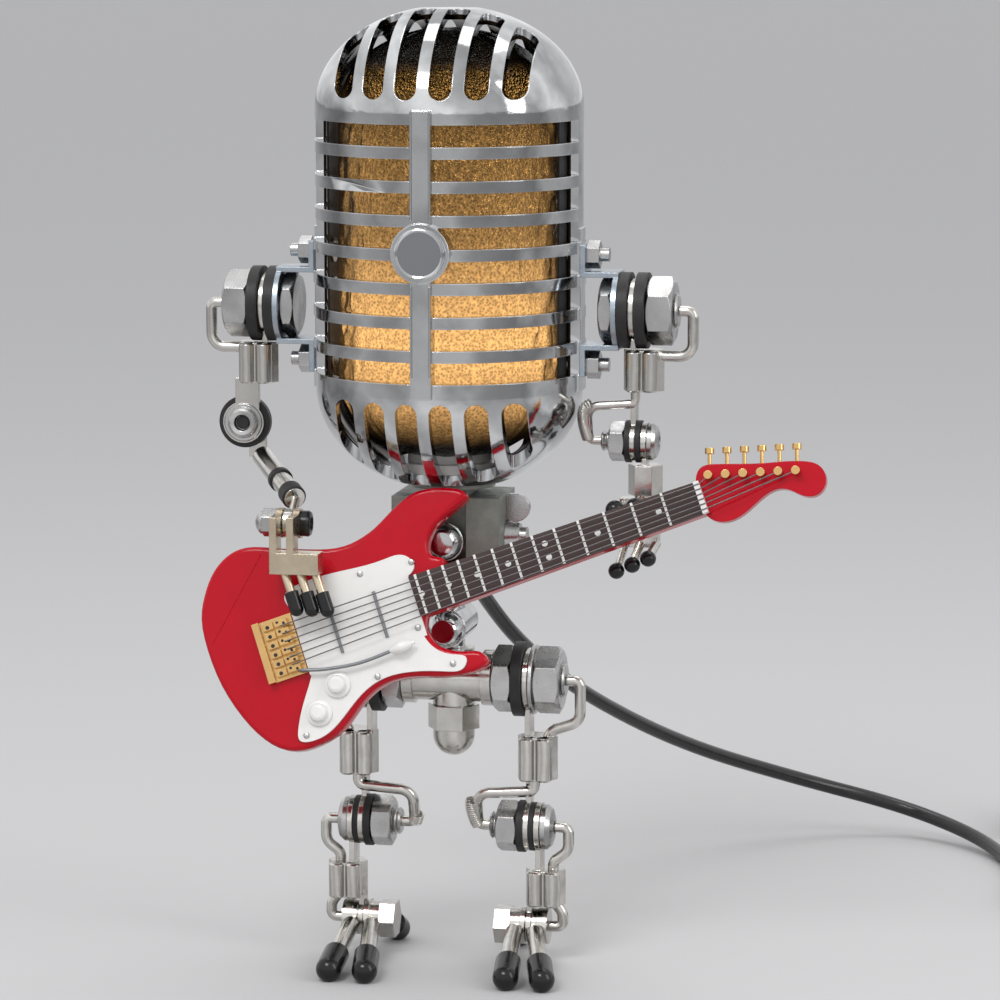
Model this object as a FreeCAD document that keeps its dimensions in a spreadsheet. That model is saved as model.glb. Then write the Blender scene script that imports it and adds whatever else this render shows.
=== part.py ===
"""Desk lamp in the shape of a small robot with a studio microphone for a head, playing a guitar.

Frame: millimetres, +Z up, +X to the robot's left, -Y the way it faces.  The origin is on the table,
under the middle of the lamp's own box (cord left out).  Places below are written in the robot's own
axis, and every sub-part is moved by body_x and body_y at the end.
"""
import FreeCAD
import Part
import math
import os
import re

V = FreeCAD.Vector
X = V(1, 0, 0)
Y = V(0, 1, 0)
Z = V(0, 0, 1)
LEFT = 1
RIGHT = -1
SIDE_NAMES = {LEFT: "left", RIGHT: "right"}

doc = FreeCAD.newDocument("robot_desk_lamp")
sheet = doc.addObject("Spreadsheet::Sheet", "Sizes")

# Driving sizes, in millimetres and degrees
SIZES = {
    # place of the robot's own axis in the frame
    "body_x": -19.34,
    "body_y": 1.67,
    # fits
    "running_fit": 0.05,
    "side_play": 0.2,
    # head grille
    "head_across": 76.0,
    "head_wall": 3.0,
    "head_rise": 15.9,
    "bottom_curve": 27.0,
    "straight_tall": 78.7,
    "top_curve": 27.7,
    "top_dome": 28.5,
    "bottom_dome": 30.0,
    "rib_width": 5.8,
    "rib_proud": 2.0,
    "rib_end": 4.0,
    "boss_across": 16.5,
    "boss_proud": 0.7,
    "badge_across": 12.6,
    "badge_thick": 1.0,
    "badge_shift": 1.35,
    "slot_width": 6.0,
    "slot_gap_high": 3.0,
    "slot_gap_low": 4.25,
    "slot_end": 4.0,
    "fin_pitch": 9.65,
    "fin_slot_width": 6.3,
    "top_slot_gap": 3.7,
    "top_slot_end": 6.0,
    "bottom_slot_gap": 1.4,
    "bottom_slot_end": 15.0,
    "liner_side_gap": 4.0,
    "liner_foil": 0.6,
    "liner_low_gap": 0.7,
    "liner_over": 11.0,
    "liner_foot_rise": 5.7,
    "liner_foot_across": 31.6,
    "holder_across": 24.0,
    "holder_tall": 24.0,
    "bulb_across": 36.0,
    "bulb_neck_across": 16.0,
    "bulb_neck": 8.0,
    # neck joint
    "spine_rise": 29.2,
    "pivot_rise": 12.4,
    "lug_thick": 11.6,
    "lug_round": 18.0,
    "lug_flange_across": 24.0,
    "lug_flange": 1.8,
    "yoke_wide": 31.0,
    "yoke_deep": 24.0,
    "yoke_tall": 24.5,
    "yoke_floor": 2.9,
    "yoke_web": 2.2,
    "yoke_web_tall": 11.0,
    "pivot_across": 5.0,
    "pivot_head_across": 9.0,
    "pivot_head": 3.0,
    "wing_hub_across": 9.0,
    "wing_hub": 4.0,
    "wing_span": 24.0,
    "wing_tall": 8.0,
    "wing_thick": 2.2,
    # shoulders
    "shoulder_rise": 22.2,
    "bracket_sheet": 1.5,
    "bracket_flange_wide": 11.0,
    "bracket_tall": 22.0,
    "bracket_reach": 11.0,
    "bracket_screw_spacing": 31.2,
    "pad_proud": 0.3,
    "pad_tall": 46.0,
    "screw_across": 4.0,
    "screw_head_across": 7.0,
    "screw_head": 1.4,
    "screw_proud": 8.0,
    "screw_nut_flats": 7.0,
    "screw_nut": 3.6,
    # shoulder and hip fastenings
    "axle_across": 10.0,
    "axle_nut_flats": 17.0,
    "axle_nut": 7.6,
    "axle_jam_nut": 6.0,
    "axle_proud": 1.0,
    "axle_rubber_across": 21.5,
    "axle_rubber": 3.0,
    "axle_washer_across": 20.0,
    "axle_washer": 1.2,
    "axle_ring_across": 18.0,
    "bolt_head": 4.0,
    # crimped limb terminals
    "tongue": 1.5,
    "strap_wide": 7.0,
    "sleeve_flats": 10.0,
    "tendon_across": 3.2,
    "tendon_bend": 4.0,
    "loop_reach": 3.8,
    "loop_drop": 1.8,
    # elbows and ankles
    "small_across": 6.0,
    "small_nut_flats": 10.0,
    "small_nut": 4.6,
    "small_ring_across": 11.0,
    "small_rubber_across": 12.0,
    "small_rubber": 1.5,
    "small_head_across": 10.5,
    "small_head": 3.0,
    # knees
    "knee_across": 8.0,
    "knee_nut_flats": 13.0,
    "knee_nut": 6.0,
    "knee_ring_across": 14.0,
    "knee_rubber_across": 15.0,
    "knee_rubber": 2.0,
    "knee_head_across": 13.0,
    "knee_head": 3.4,
    "knee_proud": 2.3,
    # torso
    "spine_x": 1.0,
    "spine_across": 6.5,
    "spine_flange": 1.6,
    "nose_across": 11.0,
    "nose_bead": 1.2,
    "nose_round": 4.0,
    "high_nose_reach": 1.6,
    "low_nose_reach": 3.0,
    "low_nose_rise": 15.6,
    "hip_height": 82.8,
    "tee_across": 14.0,
    "tee_length": 26.0,
    "tee_flange_across": 16.0,
    "tee_flange": 3.0,
    "tee_socket_across": 12.0,
    "tee_socket_rise": 8.7,
    "tee_boss_drop": 7.9,
    "acorn_flats": 13.0,
    "acorn_hex": 7.0,
    "acorn_dome_across": 12.0,
    "acorn_dome": 8.0,
    # legs: distances from the middle plane, left and right
    "left_thigh_line": 25.6,
    "left_knee_line": 22.3,
    "left_shin_line": 28.0,
    "left_ankle_line": 22.8,
    "left_toe_shift": 4.9,
    "right_thigh_line": 27.0,
    "right_knee_line": 24.6,
    "right_shin_line": 30.4,
    "right_ankle_line": 25.2,
    "right_toe_shift": -1.8,
    # legs: lengths
    "thigh_sleeve_drop": 16.3,
    "thigh_sleeve_long": 12.6,
    "knee_height": 39.7,
    "shin_sleeve_drop": 12.2,
    "shin_sleeve_long": 10.3,
    "ankle_height": 10.5,
    "toe_bar_across": 5.0,
    "toe_cap_across": 7.4,
    "toe_sole": 0.3,
    "toe_reach": 33.0,
    "toe_cap_long": 13.0,
    "heel_cap_long": 8.0,
    "toe_root": 6.4,
    "toe_root_shift": 0.6,
    "toe_splay": 10.4,
    "heel_reach": 17.0,
    # right arm
    "arm_sleeve_drop": 11.0,
    "arm_sleeve_long": 11.6,
    "right_elbow_out": 22.5,
    "right_elbow_drop": 34.5,
    "elbow_disc_across": 15.0,
    "elbow_disc": 2.4,
    "elbow_rivet_across": 7.6,
    "elbow_rivet": 1.8,
    "forearm_across": 6.0,
    "wrist_across": 4.0,
    "wrist_eye_thick": 2.5,
    "wrist_neck_back": 6.4,
    "wrist_neck_up": 6.0,
    "right_wrist_x": 40.0,
    "right_wrist_forward": 29.1,
    "right_wrist_drop": 58.9,
    "knuckle_thick": 2.0,
    "knuckle_wide": 6.0,
    "palm_left": 2.5,
    "palm_forward": 10.3,
    "palm_drop": 13.0,
    "palm_wide": 13.0,
    "palm_deep": 6.0,
    "palm_tall": 6.0,
    "finger_across": 2.6,
    "finger_long": 7.0,
    "finger_pitch": 4.4,
    "fingertip_across": 4.0,
    "fingertip_long": 5.0,
    # left arm
    "left_elbow_drop": 37.2,
    "left_sleeve_long": 8.5,
    "left_palm_in": 7.0,
    "left_palm_wide": 11.0,
    "left_palm_deep": 4.4,
    "left_palm_tall": 14.0,
    "left_pin_long": 10.6,
    "left_tip_across": 5.4,
    "left_low_tip_across": 4.6,
    # guitar
    "guitar_x": -3.45,
    "guitar_y": -31.3,
    "guitar_rise": 28.3,
    "guitar_lean": 16.0,
    "neck_rise": 20.8,
    "guitar_thick": 7.0,
    "guard_thick": 0.8,
    "neck_long": 84.0,
    "neck_wide_low": 11.6,
    "neck_wide_high": 9.2,
    "neck_thick": 4.6,
    "board_thick": 1.8,
    "fret_wide": 0.7,
    "fret_tall": 0.4,
    "fret_first_gap": 9.4,
    "fret_ratio": 0.93,
    "nut_wide": 1.6,
    "nut_tall": 0.9,
    "headstock_thick": 3.4,
    "peg_first": 4.6,
    "peg_last": 28.0,
    "string_gap": 2.3,
    "bridge_back": 46.6,
    "bridge_low": 10.4,
    "bridge_long": 11.4,
    "bridge_wide": 17.6,
    "bridge_thick": 1.4,
    "saddle_tall": 2.2,
    "knob_across": 7.4,
    "knob_tall": 3.0,
    "arm_across": 1.4,
    "arm_tip_across": 3.0,
    "arm_tip_long": 4.0,
    "string_across": 0.35,
    "post_across": 2.4,
    "post_tall": 3.0,
    "key_across": 2.6,
    "key_stem": 1.1,
    "key_stem_long": 4.2,
    "key_thick": 1.6,
    "standoff_across": 6.0,
    # cord and what is on it
    "cord_across": 4.4,
    "cord_end_gap": 0.1,
    "gland_rise": 7.0,
    "gland_across": 8.4,
    "gland_long": 9.0,
    "gland_tip_across": 5.6,
    "gland_tip": 16.0,
    "coil_across": 62.0,
    "coil_hole": 34.0,
    "coil_tall": 13.2,
    "switch_long": 46.0,
    "switch_wide": 18.0,
    "switch_tall": 13.0,
    "rocker_long": 14.0,
    "rocker_wide": 9.0,
    "rocker_tall": 5.0,
    "plug_long": 34.0,
    "plug_across": 26.0,
    "plug_thick": 14.0,
    "pin_across": 4.0,
    "pin_long": 19.0,
    "pin_spacing": 19.0,
}
# Sizes that follow from the ones above: each height is built on the one below it
DERIVED = {
    "yoke_bottom": "hip_height + spine_rise",
    "yoke_top": "yoke_bottom + yoke_tall",
    "pivot_height": "yoke_bottom + pivot_rise",
    "head_bottom": "pivot_height + head_rise",
    "straight_bottom": "head_bottom + bottom_curve",
    "straight_top": "straight_bottom + straight_tall",
    "head_top": "straight_top + top_curve",
    "slot_top": "straight_top - slot_gap_high",
    "slot_pitch": "(straight_tall - slot_gap_high - slot_gap_low - slot_width) / 7",
    "badge_height": "(straight_bottom + straight_top) / 2 + badge_shift",
    "top_slot_low": "straight_top + top_slot_gap",
    "bottom_slot_high": "straight_bottom - bottom_slot_gap",
    "liner_across": "head_across - 2 * head_wall - 2 * liner_side_gap",
    "liner_bottom": "straight_bottom + liner_low_gap",
    "liner_top": "straight_top + liner_over",
    "liner_foot": "head_bottom + liner_foot_rise",
    "shoulder_height": "straight_bottom + shoulder_rise",
    "arm_sleeve_high": "shoulder_height - arm_sleeve_drop",
    "right_elbow_x": "head_across / 2 + right_elbow_out",
    "right_elbow_height": "shoulder_height - right_elbow_drop",
    "right_wrist_height": "shoulder_height - right_wrist_drop",
    "left_elbow_height": "shoulder_height - left_elbow_drop",
    "low_nose_height": "hip_height + low_nose_rise",
    "tee_socket_top": "hip_height + tee_socket_rise",
    "tee_boss_bottom": "hip_height - tee_boss_drop",
    "thigh_sleeve_top": "hip_height - thigh_sleeve_drop",
    "shin_sleeve_top": "knee_height - shin_sleeve_drop",
    "guitar_z": "hip_height + guitar_rise",
}
NAMES = {**SIZES, **{alias: f"={formula}" for alias, formula in DERIVED.items()}}
for row, (alias, value) in enumerate(NAMES.items(), start=1):
    sheet.set(f"A{row}", alias)
    sheet.set(f"B{row}", str(value))
    sheet.setAlias(f"B{row}", alias)
doc.recompute()


class Values:
    """The sheet's numbers, by name."""

    def __getattr__(self, name):
        return float(sheet.get(name))


S = Values()
PART_NODES = []


def bind(item, **formulas):
    """Ties properties to formulas in the sheet's words; a number is set as it is."""
    for name, formula in formulas.items():
        if isinstance(formula, str):
            words = re.sub(r"[a-z_]+", lambda m: "Sizes." + m[0] if m[0] in NAMES else m[0], formula)
            item.setExpression(name, words)
        else:
            setattr(item, name, formula)
    return item


def aim(start, along, spin=0.0):
    """The placement that carries +Z at the origin to the direction along at start."""
    turn = FreeCAD.Rotation(Z, along).multiply(FreeCAD.Rotation(Z, spin))
    return FreeCAD.Placement(start, turn)


def rod(across, length, start, along=Z):
    item = doc.addObject("Part::Cylinder", "Rod")
    bind(item, Radius=f"({across}) / 2", Height=length)
    item.Placement = aim(start, along)
    return item


def cone(low, high, length, start, along=Z):
    item = doc.addObject("Part::Cone", "Cone")
    bind(item, Radius1=f"({low}) / 2", Radius2=f"({high}) / 2", Height=length)
    item.Placement = aim(start, along)
    return item


def ball(across, centre):
    item = doc.addObject("Part::Sphere", "Ball")
    bind(item, Radius=f"({across}) / 2")
    item.Placement = FreeCAD.Placement(centre, FreeCAD.Rotation())
    return item


def hexagon(flats, length, start, along=Z, spin=0.0):
    item = doc.addObject("Part::Prism", "Hexagon")
    bind(item, Circumradius=f"({flats}) / (2 * cos(30))", Height=length)
    item.Polygon = 6
    item.Placement = aim(start, along, spin)
    return item


def block(long, wide, tall, corner):
    item = doc.addObject("Part::Box", "Block")
    bind(item, Length=long, Width=wide, Height=tall)
    item.Placement = FreeCAD.Placement(corner, FreeCAD.Rotation())
    return item


def fuse(*items):
    item = doc.addObject("Part::MultiFuse", "Joined")
    item.Shapes = list(items)
    item.Refine = True
    return item


def together(*items):
    item = doc.addObject("Part::Compound", "Group")
    item.Links = list(items)
    return item


def cut(base, *tools):
    item = doc.addObject("Part::Cut", "Cut")
    item.Base = base
    item.Tool = tools[0] if len(tools) == 1 else together(*tools)
    return item


def common(base, tool):
    item = doc.addObject("Part::Common", "Common")
    item.Base = base
    item.Tool = tool
    return item


def ring(across, hole, length, start, along=Z):
    return cut(rod(across, length, start, along), rod(hole, length, start, along))


def nut(flats, hole, length, start, along=Z, spin=0.0):
    return cut(hexagon(flats, length, start, along, spin), rod(hole, length, start, along))


def between(across, start, end):
    """A round bar from one point to another."""
    return rod(across, (end - start).Length, start, (end - start).normalize())


def bent_path(points, largest=1000.0):
    """Straight runs joined by tangent arcs, as wide as their runs allow."""
    edges = []
    radii = []
    last = points[0]
    for before, corner, after in zip(points, points[1:], points[2:]):
        back = (before - corner).normalize()
        ahead = (after - corner).normalize()
        half_turn = (math.pi - back.getAngle(ahead)) / 2
        trim = 0.45 * min((before - corner).Length, (after - corner).Length)
        radius = min(trim / math.tan(half_turn), largest)
        trim = radius * math.tan(half_turn)
        start = corner + back * trim
        end = corner + ahead * trim
        inward = (back + ahead).normalize()
        middle = corner + inward * (radius / math.cos(half_turn) - radius)
        edges.append(Part.LineSegment(last, start).toShape())
        edges.append(Part.Arc(start, middle, end).toShape())
        radii.append(radius)
        last = end
    edges.append(Part.LineSegment(last, points[-1]).toShape())
    return Part.Wire(edges), radii


def bent_rod(across, points, largest=1000.0):
    """A rod bent along a route; its sweep has no primitive, so its shape is set here."""
    path, radii = bent_path(points, largest)
    start = (points[1] - points[0]).normalize()
    section = Part.Wire(Part.makeCircle(across / 2, points[0], start))
    item = doc.addObject("Part::Feature", "BentRod")
    item.Shape = path.makePipeShell([section], True, False)
    expected = math.pi * across ** 2 / 4 * path.Length
    error = abs(item.Shape.Volume / expected - 1)
    assert error < 0.01, f"bent rod volume is off by {error:.1%}"
    return item, radii, path.Length


def node(label, *items):
    """A finished sub-part: its solids, under its own name, moved from the robot's axis."""
    item = together(*items)
    item.Label = label
    bind(item, **{"Placement.Base.x": "body_x", "Placement.Base.y": "body_y"})
    PART_NODES.append(item)
    return item


def side_block(side, inner, long, wide, tall, y, z, long_value):
    """A block that starts at distance inner from the middle plane on one side."""
    start = inner if side == LEFT else -inner - long_value
    return block(long, wide, tall, V(start, y, z))


# Head


def capsule(shrink):
    """The head's outer form, or its inside when shrink is the wall."""
    across = f"head_across - 2 * {shrink}"
    body = rod(across, "straight_top - straight_bottom", V(0, 0, S.straight_bottom))
    domes = []
    for height, dome in (("straight_top", "top_dome"), ("straight_bottom", "bottom_dome")):
        item = doc.addObject("Part::Ellipsoid", "Dome")
        bind(item, Radius1=f"{dome} - {shrink}", Radius2=f"({across}) / 2", Radius3=f"({across}) / 2")
        item.Angle1 = -90
        item.Angle2 = 90
        bind(item, **{"Placement.Base.z": height})
        domes.append(item)
    whole = fuse(body, *domes)
    limit = block("2 * head_across", "2 * head_across", f"head_top - head_bottom - 2 * {shrink}",
                  V(-S.head_across, -S.head_across, S.head_bottom + value_of(shrink)))
    return common(whole, limit)


def value_of(word):
    """The value of one word of the sheet, or of a plain number."""
    return getattr(S, word) if word in NAMES else float(word)


def grille_slots():
    """The eight level slots each side of the rib, and six upright ones in each dome."""
    far = S.head_across
    cutters = []
    for row in range(8):
        low = S.slot_top - row * S.slot_pitch - S.slot_width
        for x in (S.rib_width / 2, -S.rib_width / 2 - far):
            cutters.append(block("head_across", "head_across", "slot_width", V(x, -S.slot_end - far, low)))
    half = S.fin_slot_width / 2
    for column in range(6):
        x = (column - 2.5) * S.fin_pitch
        ends = (
            (S.top_slot_low + half, S.top_slot_end + half, 1),
            (S.bottom_slot_high - half, S.bottom_slot_end + half, -1),
        )
        for height, depth, way in ends:
            z = height if way > 0 else height - far
            cutters.append(block("fin_slot_width", "head_across", "head_across", V(x - half, -depth - far, z)))
            cutters.append(rod("fin_slot_width", "head_across", V(x, -depth, height), -Y))
            cutters.append(rod("fin_slot_width", "head_across", V(x, -depth, height), Z * way))
    return cutters


def half_shell():
    """The front half of the head, cast with its rib and its half of the bracket pads."""
    far = S.head_across
    rib_low = S.slot_top - 7 * S.slot_pitch - S.slot_width - S.rib_end
    rib_high = S.slot_top + S.rib_end
    rib = block("rib_width", "rib_proud + head_wall", rib_high - rib_low,
                V(-S.rib_width / 2, -S.head_across / 2 - S.rib_proud, rib_low))
    solid = [capsule("0"), rib]
    for side in (LEFT, RIGHT):
        solid.append(side_block(side, S.head_across / 2 - S.head_wall, "head_wall + pad_proud",
                                "bracket_flange_wide", "pad_tall", -S.bracket_flange_wide / 2,
                                S.shoulder_height - S.pad_tall / 2, S.head_wall + S.pad_proud))
    inside = capsule("head_wall")
    half = block("2 * head_across", "head_across", "2 * head_top", V(-far, -far, 0))
    holes = [rod("screw_across", "2 * head_across", V(-far, 0, z), X) for z in screw_heights()]
    shell = cut(cut(common(fuse(*solid), half), inside), *grille_slots(), *holes)
    return shell, inside


def screw_heights():
    return (S.shoulder_height + S.bracket_screw_spacing / 2,
            S.shoulder_height - S.bracket_screw_spacing / 2)


def head():
    shell, inside = half_shell()
    boss_front = S.head_across / 2 + S.rib_proud + S.boss_proud
    boss = rod("boss_across", "boss_proud + rib_proud + head_wall", V(0, -boss_front, S.badge_height), Y)
    node("head_front_shell", fuse(shell, cut(boss, inside)))
    rear = doc.addObject("Part::Mirroring", "RearHalf")
    rear.Source = shell
    rear.Normal = Y
    node("head_rear_shell", rear)
    node("head_badge_disc", rod("badge_across", "badge_thick", V(0, -boss_front, S.badge_height), -Y))
    foot_height = S.liner_bottom - S.liner_foot
    tube = ring("liner_across", "liner_across - 2 * liner_foil", "liner_top - liner_bottom",
                V(0, 0, S.liner_bottom))
    foot = cut(cone("liner_foot_across", "liner_across", foot_height, V(0, 0, S.liner_foot)),
               cone("liner_foot_across - 2 * liner_foil", "liner_across - 2 * liner_foil", foot_height,
                    V(0, 0, S.liner_foot)))
    node("grille_liner", fuse(tube, foot))
    floor = S.head_bottom + S.head_wall
    collar = rod("liner_foot_across", "liner_foot - head_bottom - head_wall", V(0, 0, floor))
    holder = rod("holder_across", "holder_tall", V(0, 0, floor))
    node("lamp_holder", fuse(collar, holder))
    holder_top = floor + S.holder_tall
    bulb_centre = holder_top + S.bulb_neck + math.sqrt(S.bulb_across ** 2 - S.bulb_neck_across ** 2) / 2
    neck = rod("bulb_neck_across", bulb_centre - holder_top, V(0, 0, holder_top))
    node("led_bulb", fuse(neck, ball("bulb_across", V(0, 0, bulb_centre))))
    lug = fuse(
        block("lug_thick", "lug_round", S.head_bottom - S.pivot_height,
              V(S.spine_x - S.lug_thick / 2, -S.lug_round / 2, S.pivot_height)),
        rod("lug_round", "lug_thick", V(S.spine_x - S.lug_thick / 2, 0, S.pivot_height), X),
        rod("lug_flange_across", "lug_flange", V(S.spine_x, 0, S.head_bottom - S.lug_flange)),
    )
    bore = rod("pivot_across + 2 * running_fit", "2 * yoke_wide", V(-S.yoke_wide, 0, S.pivot_height), X)
    node("neck_lug", cut(lug, bore))


# Shoulders


def shoulder_stack():
    """Distances from the middle plane to each layer on a shoulder bolt."""
    flange = S.head_across / 2 + S.pad_proud
    web = flange + S.bracket_reach - S.bracket_sheet
    rubber = web + S.bracket_sheet
    arm = rubber + S.axle_rubber + S.side_play
    washer = arm + S.tongue + S.side_play
    outer_nut = washer + S.axle_rubber
    end = outer_nut + S.axle_nut + S.axle_proud
    return {"flange": flange, "web": web, "rubber": rubber, "arm": arm, "washer": washer,
            "nut": outer_nut, "end": end}


def shoulders():
    at = shoulder_stack()
    brackets = []
    bolts = []
    rubbers = []
    screws = []
    far_low, far_high = screw_heights()[1], screw_heights()[0]
    flange_tall = (far_high - far_low - S.bracket_tall) / 2 + S.screw_head_across / 2 + 1
    for side in (LEFT, RIGHT):
        out = X * side
        middle = V(0, 0, S.shoulder_height)
        flanges = []
        for way in (1, -1):
            inner = S.shoulder_height + way * (S.bracket_tall / 2 - S.bracket_sheet)
            low = inner if way > 0 else inner - flange_tall
            flanges.append(side_block(side, at["flange"], "bracket_sheet", "bracket_flange_wide",
                                      flange_tall, -S.bracket_flange_wide / 2, low, S.bracket_sheet))
            leg_low = inner if way > 0 else inner - S.bracket_sheet
            flanges.append(side_block(side, at["flange"], "bracket_reach", "bracket_flange_wide",
                                      "bracket_sheet", -S.bracket_flange_wide / 2, leg_low,
                                      S.bracket_reach))
        web = rod("bracket_tall", "bracket_sheet", middle + out * at["web"], out)
        shape = fuse(web, *flanges)
        holes = [rod("screw_across", "head_across", V(0, 0, z), out) for z in screw_heights()]
        holes.append(rod("axle_across", "head_across", middle, out))
        brackets.append(cut(shape, *holes))
        head = hexagon("axle_nut_flats", "bolt_head", middle + out * (at["web"] - S.bolt_head), out, 30)
        shank = rod("axle_across", at["end"] - at["web"] + S.bolt_head,
                    middle + out * (at["web"] - S.bolt_head), out)
        bolts.append(fuse(head, shank))
        bolts.append(nut("axle_nut_flats", "axle_across", "axle_nut", middle + out * at["nut"], out, 30))
        for layer in ("rubber", "washer"):
            rubbers.append(ring("axle_rubber_across", "axle_across", "axle_rubber",
                                middle + out * at[layer], out))
        for z in screw_heights():
            start = S.head_across / 2 - S.head_wall - S.screw_head - 0.4
            shank = rod("screw_across", S.head_across / 2 + S.screw_proud - start, V(side * start, 0, z), out)
            head = rod("screw_head_across", "screw_head", V(side * start, 0, z), out)
            screws.append(fuse(shank, head))
            screws.append(nut("screw_nut_flats", "screw_across", "screw_nut",
                              V(side * (at["flange"] + S.bracket_sheet), 0, z), out))
    node("shoulder_brackets", *brackets)
    node("bracket_fasteners", *screws)
    node("shoulder_bolts", *bolts)
    node("shoulder_rubbers", *rubbers)


# Arms


def arm_ring(side):
    """The ring on the shoulder bolt with its strap, down to the sleeve."""
    at = shoulder_stack()
    out = X * side
    eye = rod("axle_ring_across", "tongue", V(side * at["arm"], 0, S.shoulder_height), out)
    strap = side_block(side, at["arm"], "tongue", "strap_wide", S.shoulder_height - S.arm_sleeve_high + 1,
                       -S.strap_wide / 2, S.arm_sleeve_high - 1, S.tongue)
    return fuse(eye, strap)


def arm_bore(side):
    return rod("axle_across + 2 * running_fit", "2 * head_across", V(0, 0, S.shoulder_height), X * side)


def shoulder_loop(side, sleeve_x, sleeve):
    """The bent rod from the side of the sleeve, round the nut, to the end of the bolt."""
    end = shoulder_stack()["end"] + S.side_play
    reach = end + S.loop_reach
    low = S.arm_sleeve_high - S.loop_drop
    points = [V(sleeve_x + 2, 0, low), V(reach, 0, low), V(reach, 0, S.shoulder_height),
              V(end, 0, S.shoulder_height)]
    return tendon(side, points, S.tendon_across, sleeve)


def tendon(side, points, across, sleeve):
    """A bent rod on one side of the robot, trimmed flush with the sleeve it leaves."""
    loop, _, _ = bent_rod(across, [V(side * p.x, p.y, p.z) for p in points], S.tendon_bend)
    return cut(loop, sleeve)


def right_arm():
    at = shoulder_stack()
    sleeve_x = at["arm"] + 3.4
    low = S.arm_sleeve_high - S.arm_sleeve_long
    elbow = V(-S.right_elbow_x, 0, S.right_elbow_height)
    sleeve = hexagon("sleeve_flats", "arm_sleeve_long", V(-sleeve_x, 0, low))
    # flat tongue turned to face the front, with its eye on the elbow rivet
    eye_y = -S.tongue / 2
    eye = rod("small_ring_across + 1", "tongue", elbow + V(0, eye_y, 0), Y)
    tongue = block("strap_wide", "tongue", low + 1 - elbow.z, V(elbow.x - S.strap_wide / 2 + 1.2, eye_y, elbow.z))
    shape = cut(fuse(arm_ring(RIGHT), sleeve, tongue, eye), arm_bore(RIGHT),
                rod("small_across / 2", "3 * tongue", elbow + V(0, 3 * eye_y, 0), Y))
    node("right_upper_arm", shape, shoulder_loop(RIGHT, sleeve_x, sleeve))
    # rivet in front, rubber disc and forearm eye behind
    disc_y = -eye_y
    eye_two_y = disc_y + S.elbow_disc + S.side_play
    back_y = eye_two_y + S.tongue + S.side_play
    shank = rod("small_across / 2", back_y - eye_y + 1, elbow + V(0, eye_y, 0), Y)
    face = rod("elbow_rivet_across", "elbow_rivet", elbow + V(0, eye_y, 0), -Y)
    back = rod("elbow_rivet_across", "elbow_rivet", elbow + V(0, back_y, 0), Y)
    disc = ring("elbow_disc_across", "small_across / 2", "elbow_disc", elbow + V(0, disc_y, 0), Y)
    node("right_elbow_rivet", fuse(shank, face, back))
    node("right_elbow_disc", disc)
    # forearm from the elbow eye down and forward to the wrist
    eye_two = elbow + V(0, eye_two_y, 0)
    wrist = V(-S.right_wrist_x, -S.right_wrist_forward, S.right_wrist_height)
    knuckle = eye_two + V(4.4, S.tongue / 2, -10.4)
    barrel_end = wrist + V(0, S.wrist_neck_back, S.wrist_neck_up)
    half = S.wrist_eye_thick / 2
    eye_plate = rod("small_ring_across + 1", "tongue", eye_two, Y)
    neck_block = block("strap_wide - 2", "tongue", "strap_wide + 3.5",
                       V(elbow.x + 0.6, eye_two_y, elbow.z - S.strap_wide - 3.5))
    barrel = between("forearm_across", knuckle, barrel_end)
    wrist_neck = between("wrist_eye_thick - 0.5", barrel_end, wrist)
    wrist_eye = rod("wrist_across + 4", "wrist_eye_thick", wrist - X * half, X)
    forearm = cut(fuse(eye_plate, neck_block, barrel, wrist_neck, wrist_eye),
                  rod("small_across / 2 + 2 * running_fit", "3 * tongue", eye_two - Y * S.tongue, Y),
                  rod("wrist_across", "2 * wrist_eye_thick", wrist - X * S.wrist_eye_thick, X))
    node("right_forearm", forearm)
    outer = half + S.side_play + S.knuckle_thick
    bolt = rod("wrist_across", 2 * (outer + S.wrist_across / 2), wrist - X * (outer + S.wrist_across / 2), X)
    dome = nut("wrist_across + 3", "wrist_across", "wrist_across", wrist - X * (outer + S.wrist_across), X)
    cap = rod("wrist_across + 3", "wrist_across / 2", wrist + X * outer, X)
    node("right_wrist_bolt", fuse(bolt, cap), dome)
    right_hand(wrist, half + S.side_play)


def right_hand(wrist, inner):
    """Two knuckle plates on the wrist bolt, a palm block and three pins with dipped tips."""
    palm_low = wrist - V(S.palm_left, S.palm_forward, S.palm_drop)
    plates = []
    for x in (wrist.x - inner - S.knuckle_thick, wrist.x + inner):
        plates.append(rod("wrist_across + 4.4", "knuckle_thick", V(x, wrist.y, wrist.z), X))
        plates.append(block("knuckle_thick", "palm_forward", "knuckle_wide",
                            V(x, palm_low.y, wrist.z - S.knuckle_wide / 2)))
        plates.append(block("knuckle_thick", "palm_deep", "palm_drop", V(x, palm_low.y, palm_low.z)))
    palm = block("palm_wide", "palm_deep", "palm_tall", palm_low)
    bore = rod("wrist_across + 2 * running_fit", "palm_wide", wrist - X * S.palm_wide / 2, X)
    pins = []
    tips = []
    lean = V(0.42, -0.32, -1).normalize()
    for finger in range(3):
        root = palm_low + V(2.5 + finger * S.finger_pitch, S.palm_deep / 2, 1)
        pin_end = root + lean * S.finger_long
        pins.append(between("finger_across", root, pin_end))
        tip_end = pin_end + lean * S.fingertip_long
        tips.append(fuse(between("fingertip_across", pin_end, tip_end), ball("fingertip_across", tip_end)))
    node("right_hand", cut(fuse(*plates, palm, *pins), bore))
    node("right_fingertips", *tips)


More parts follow.
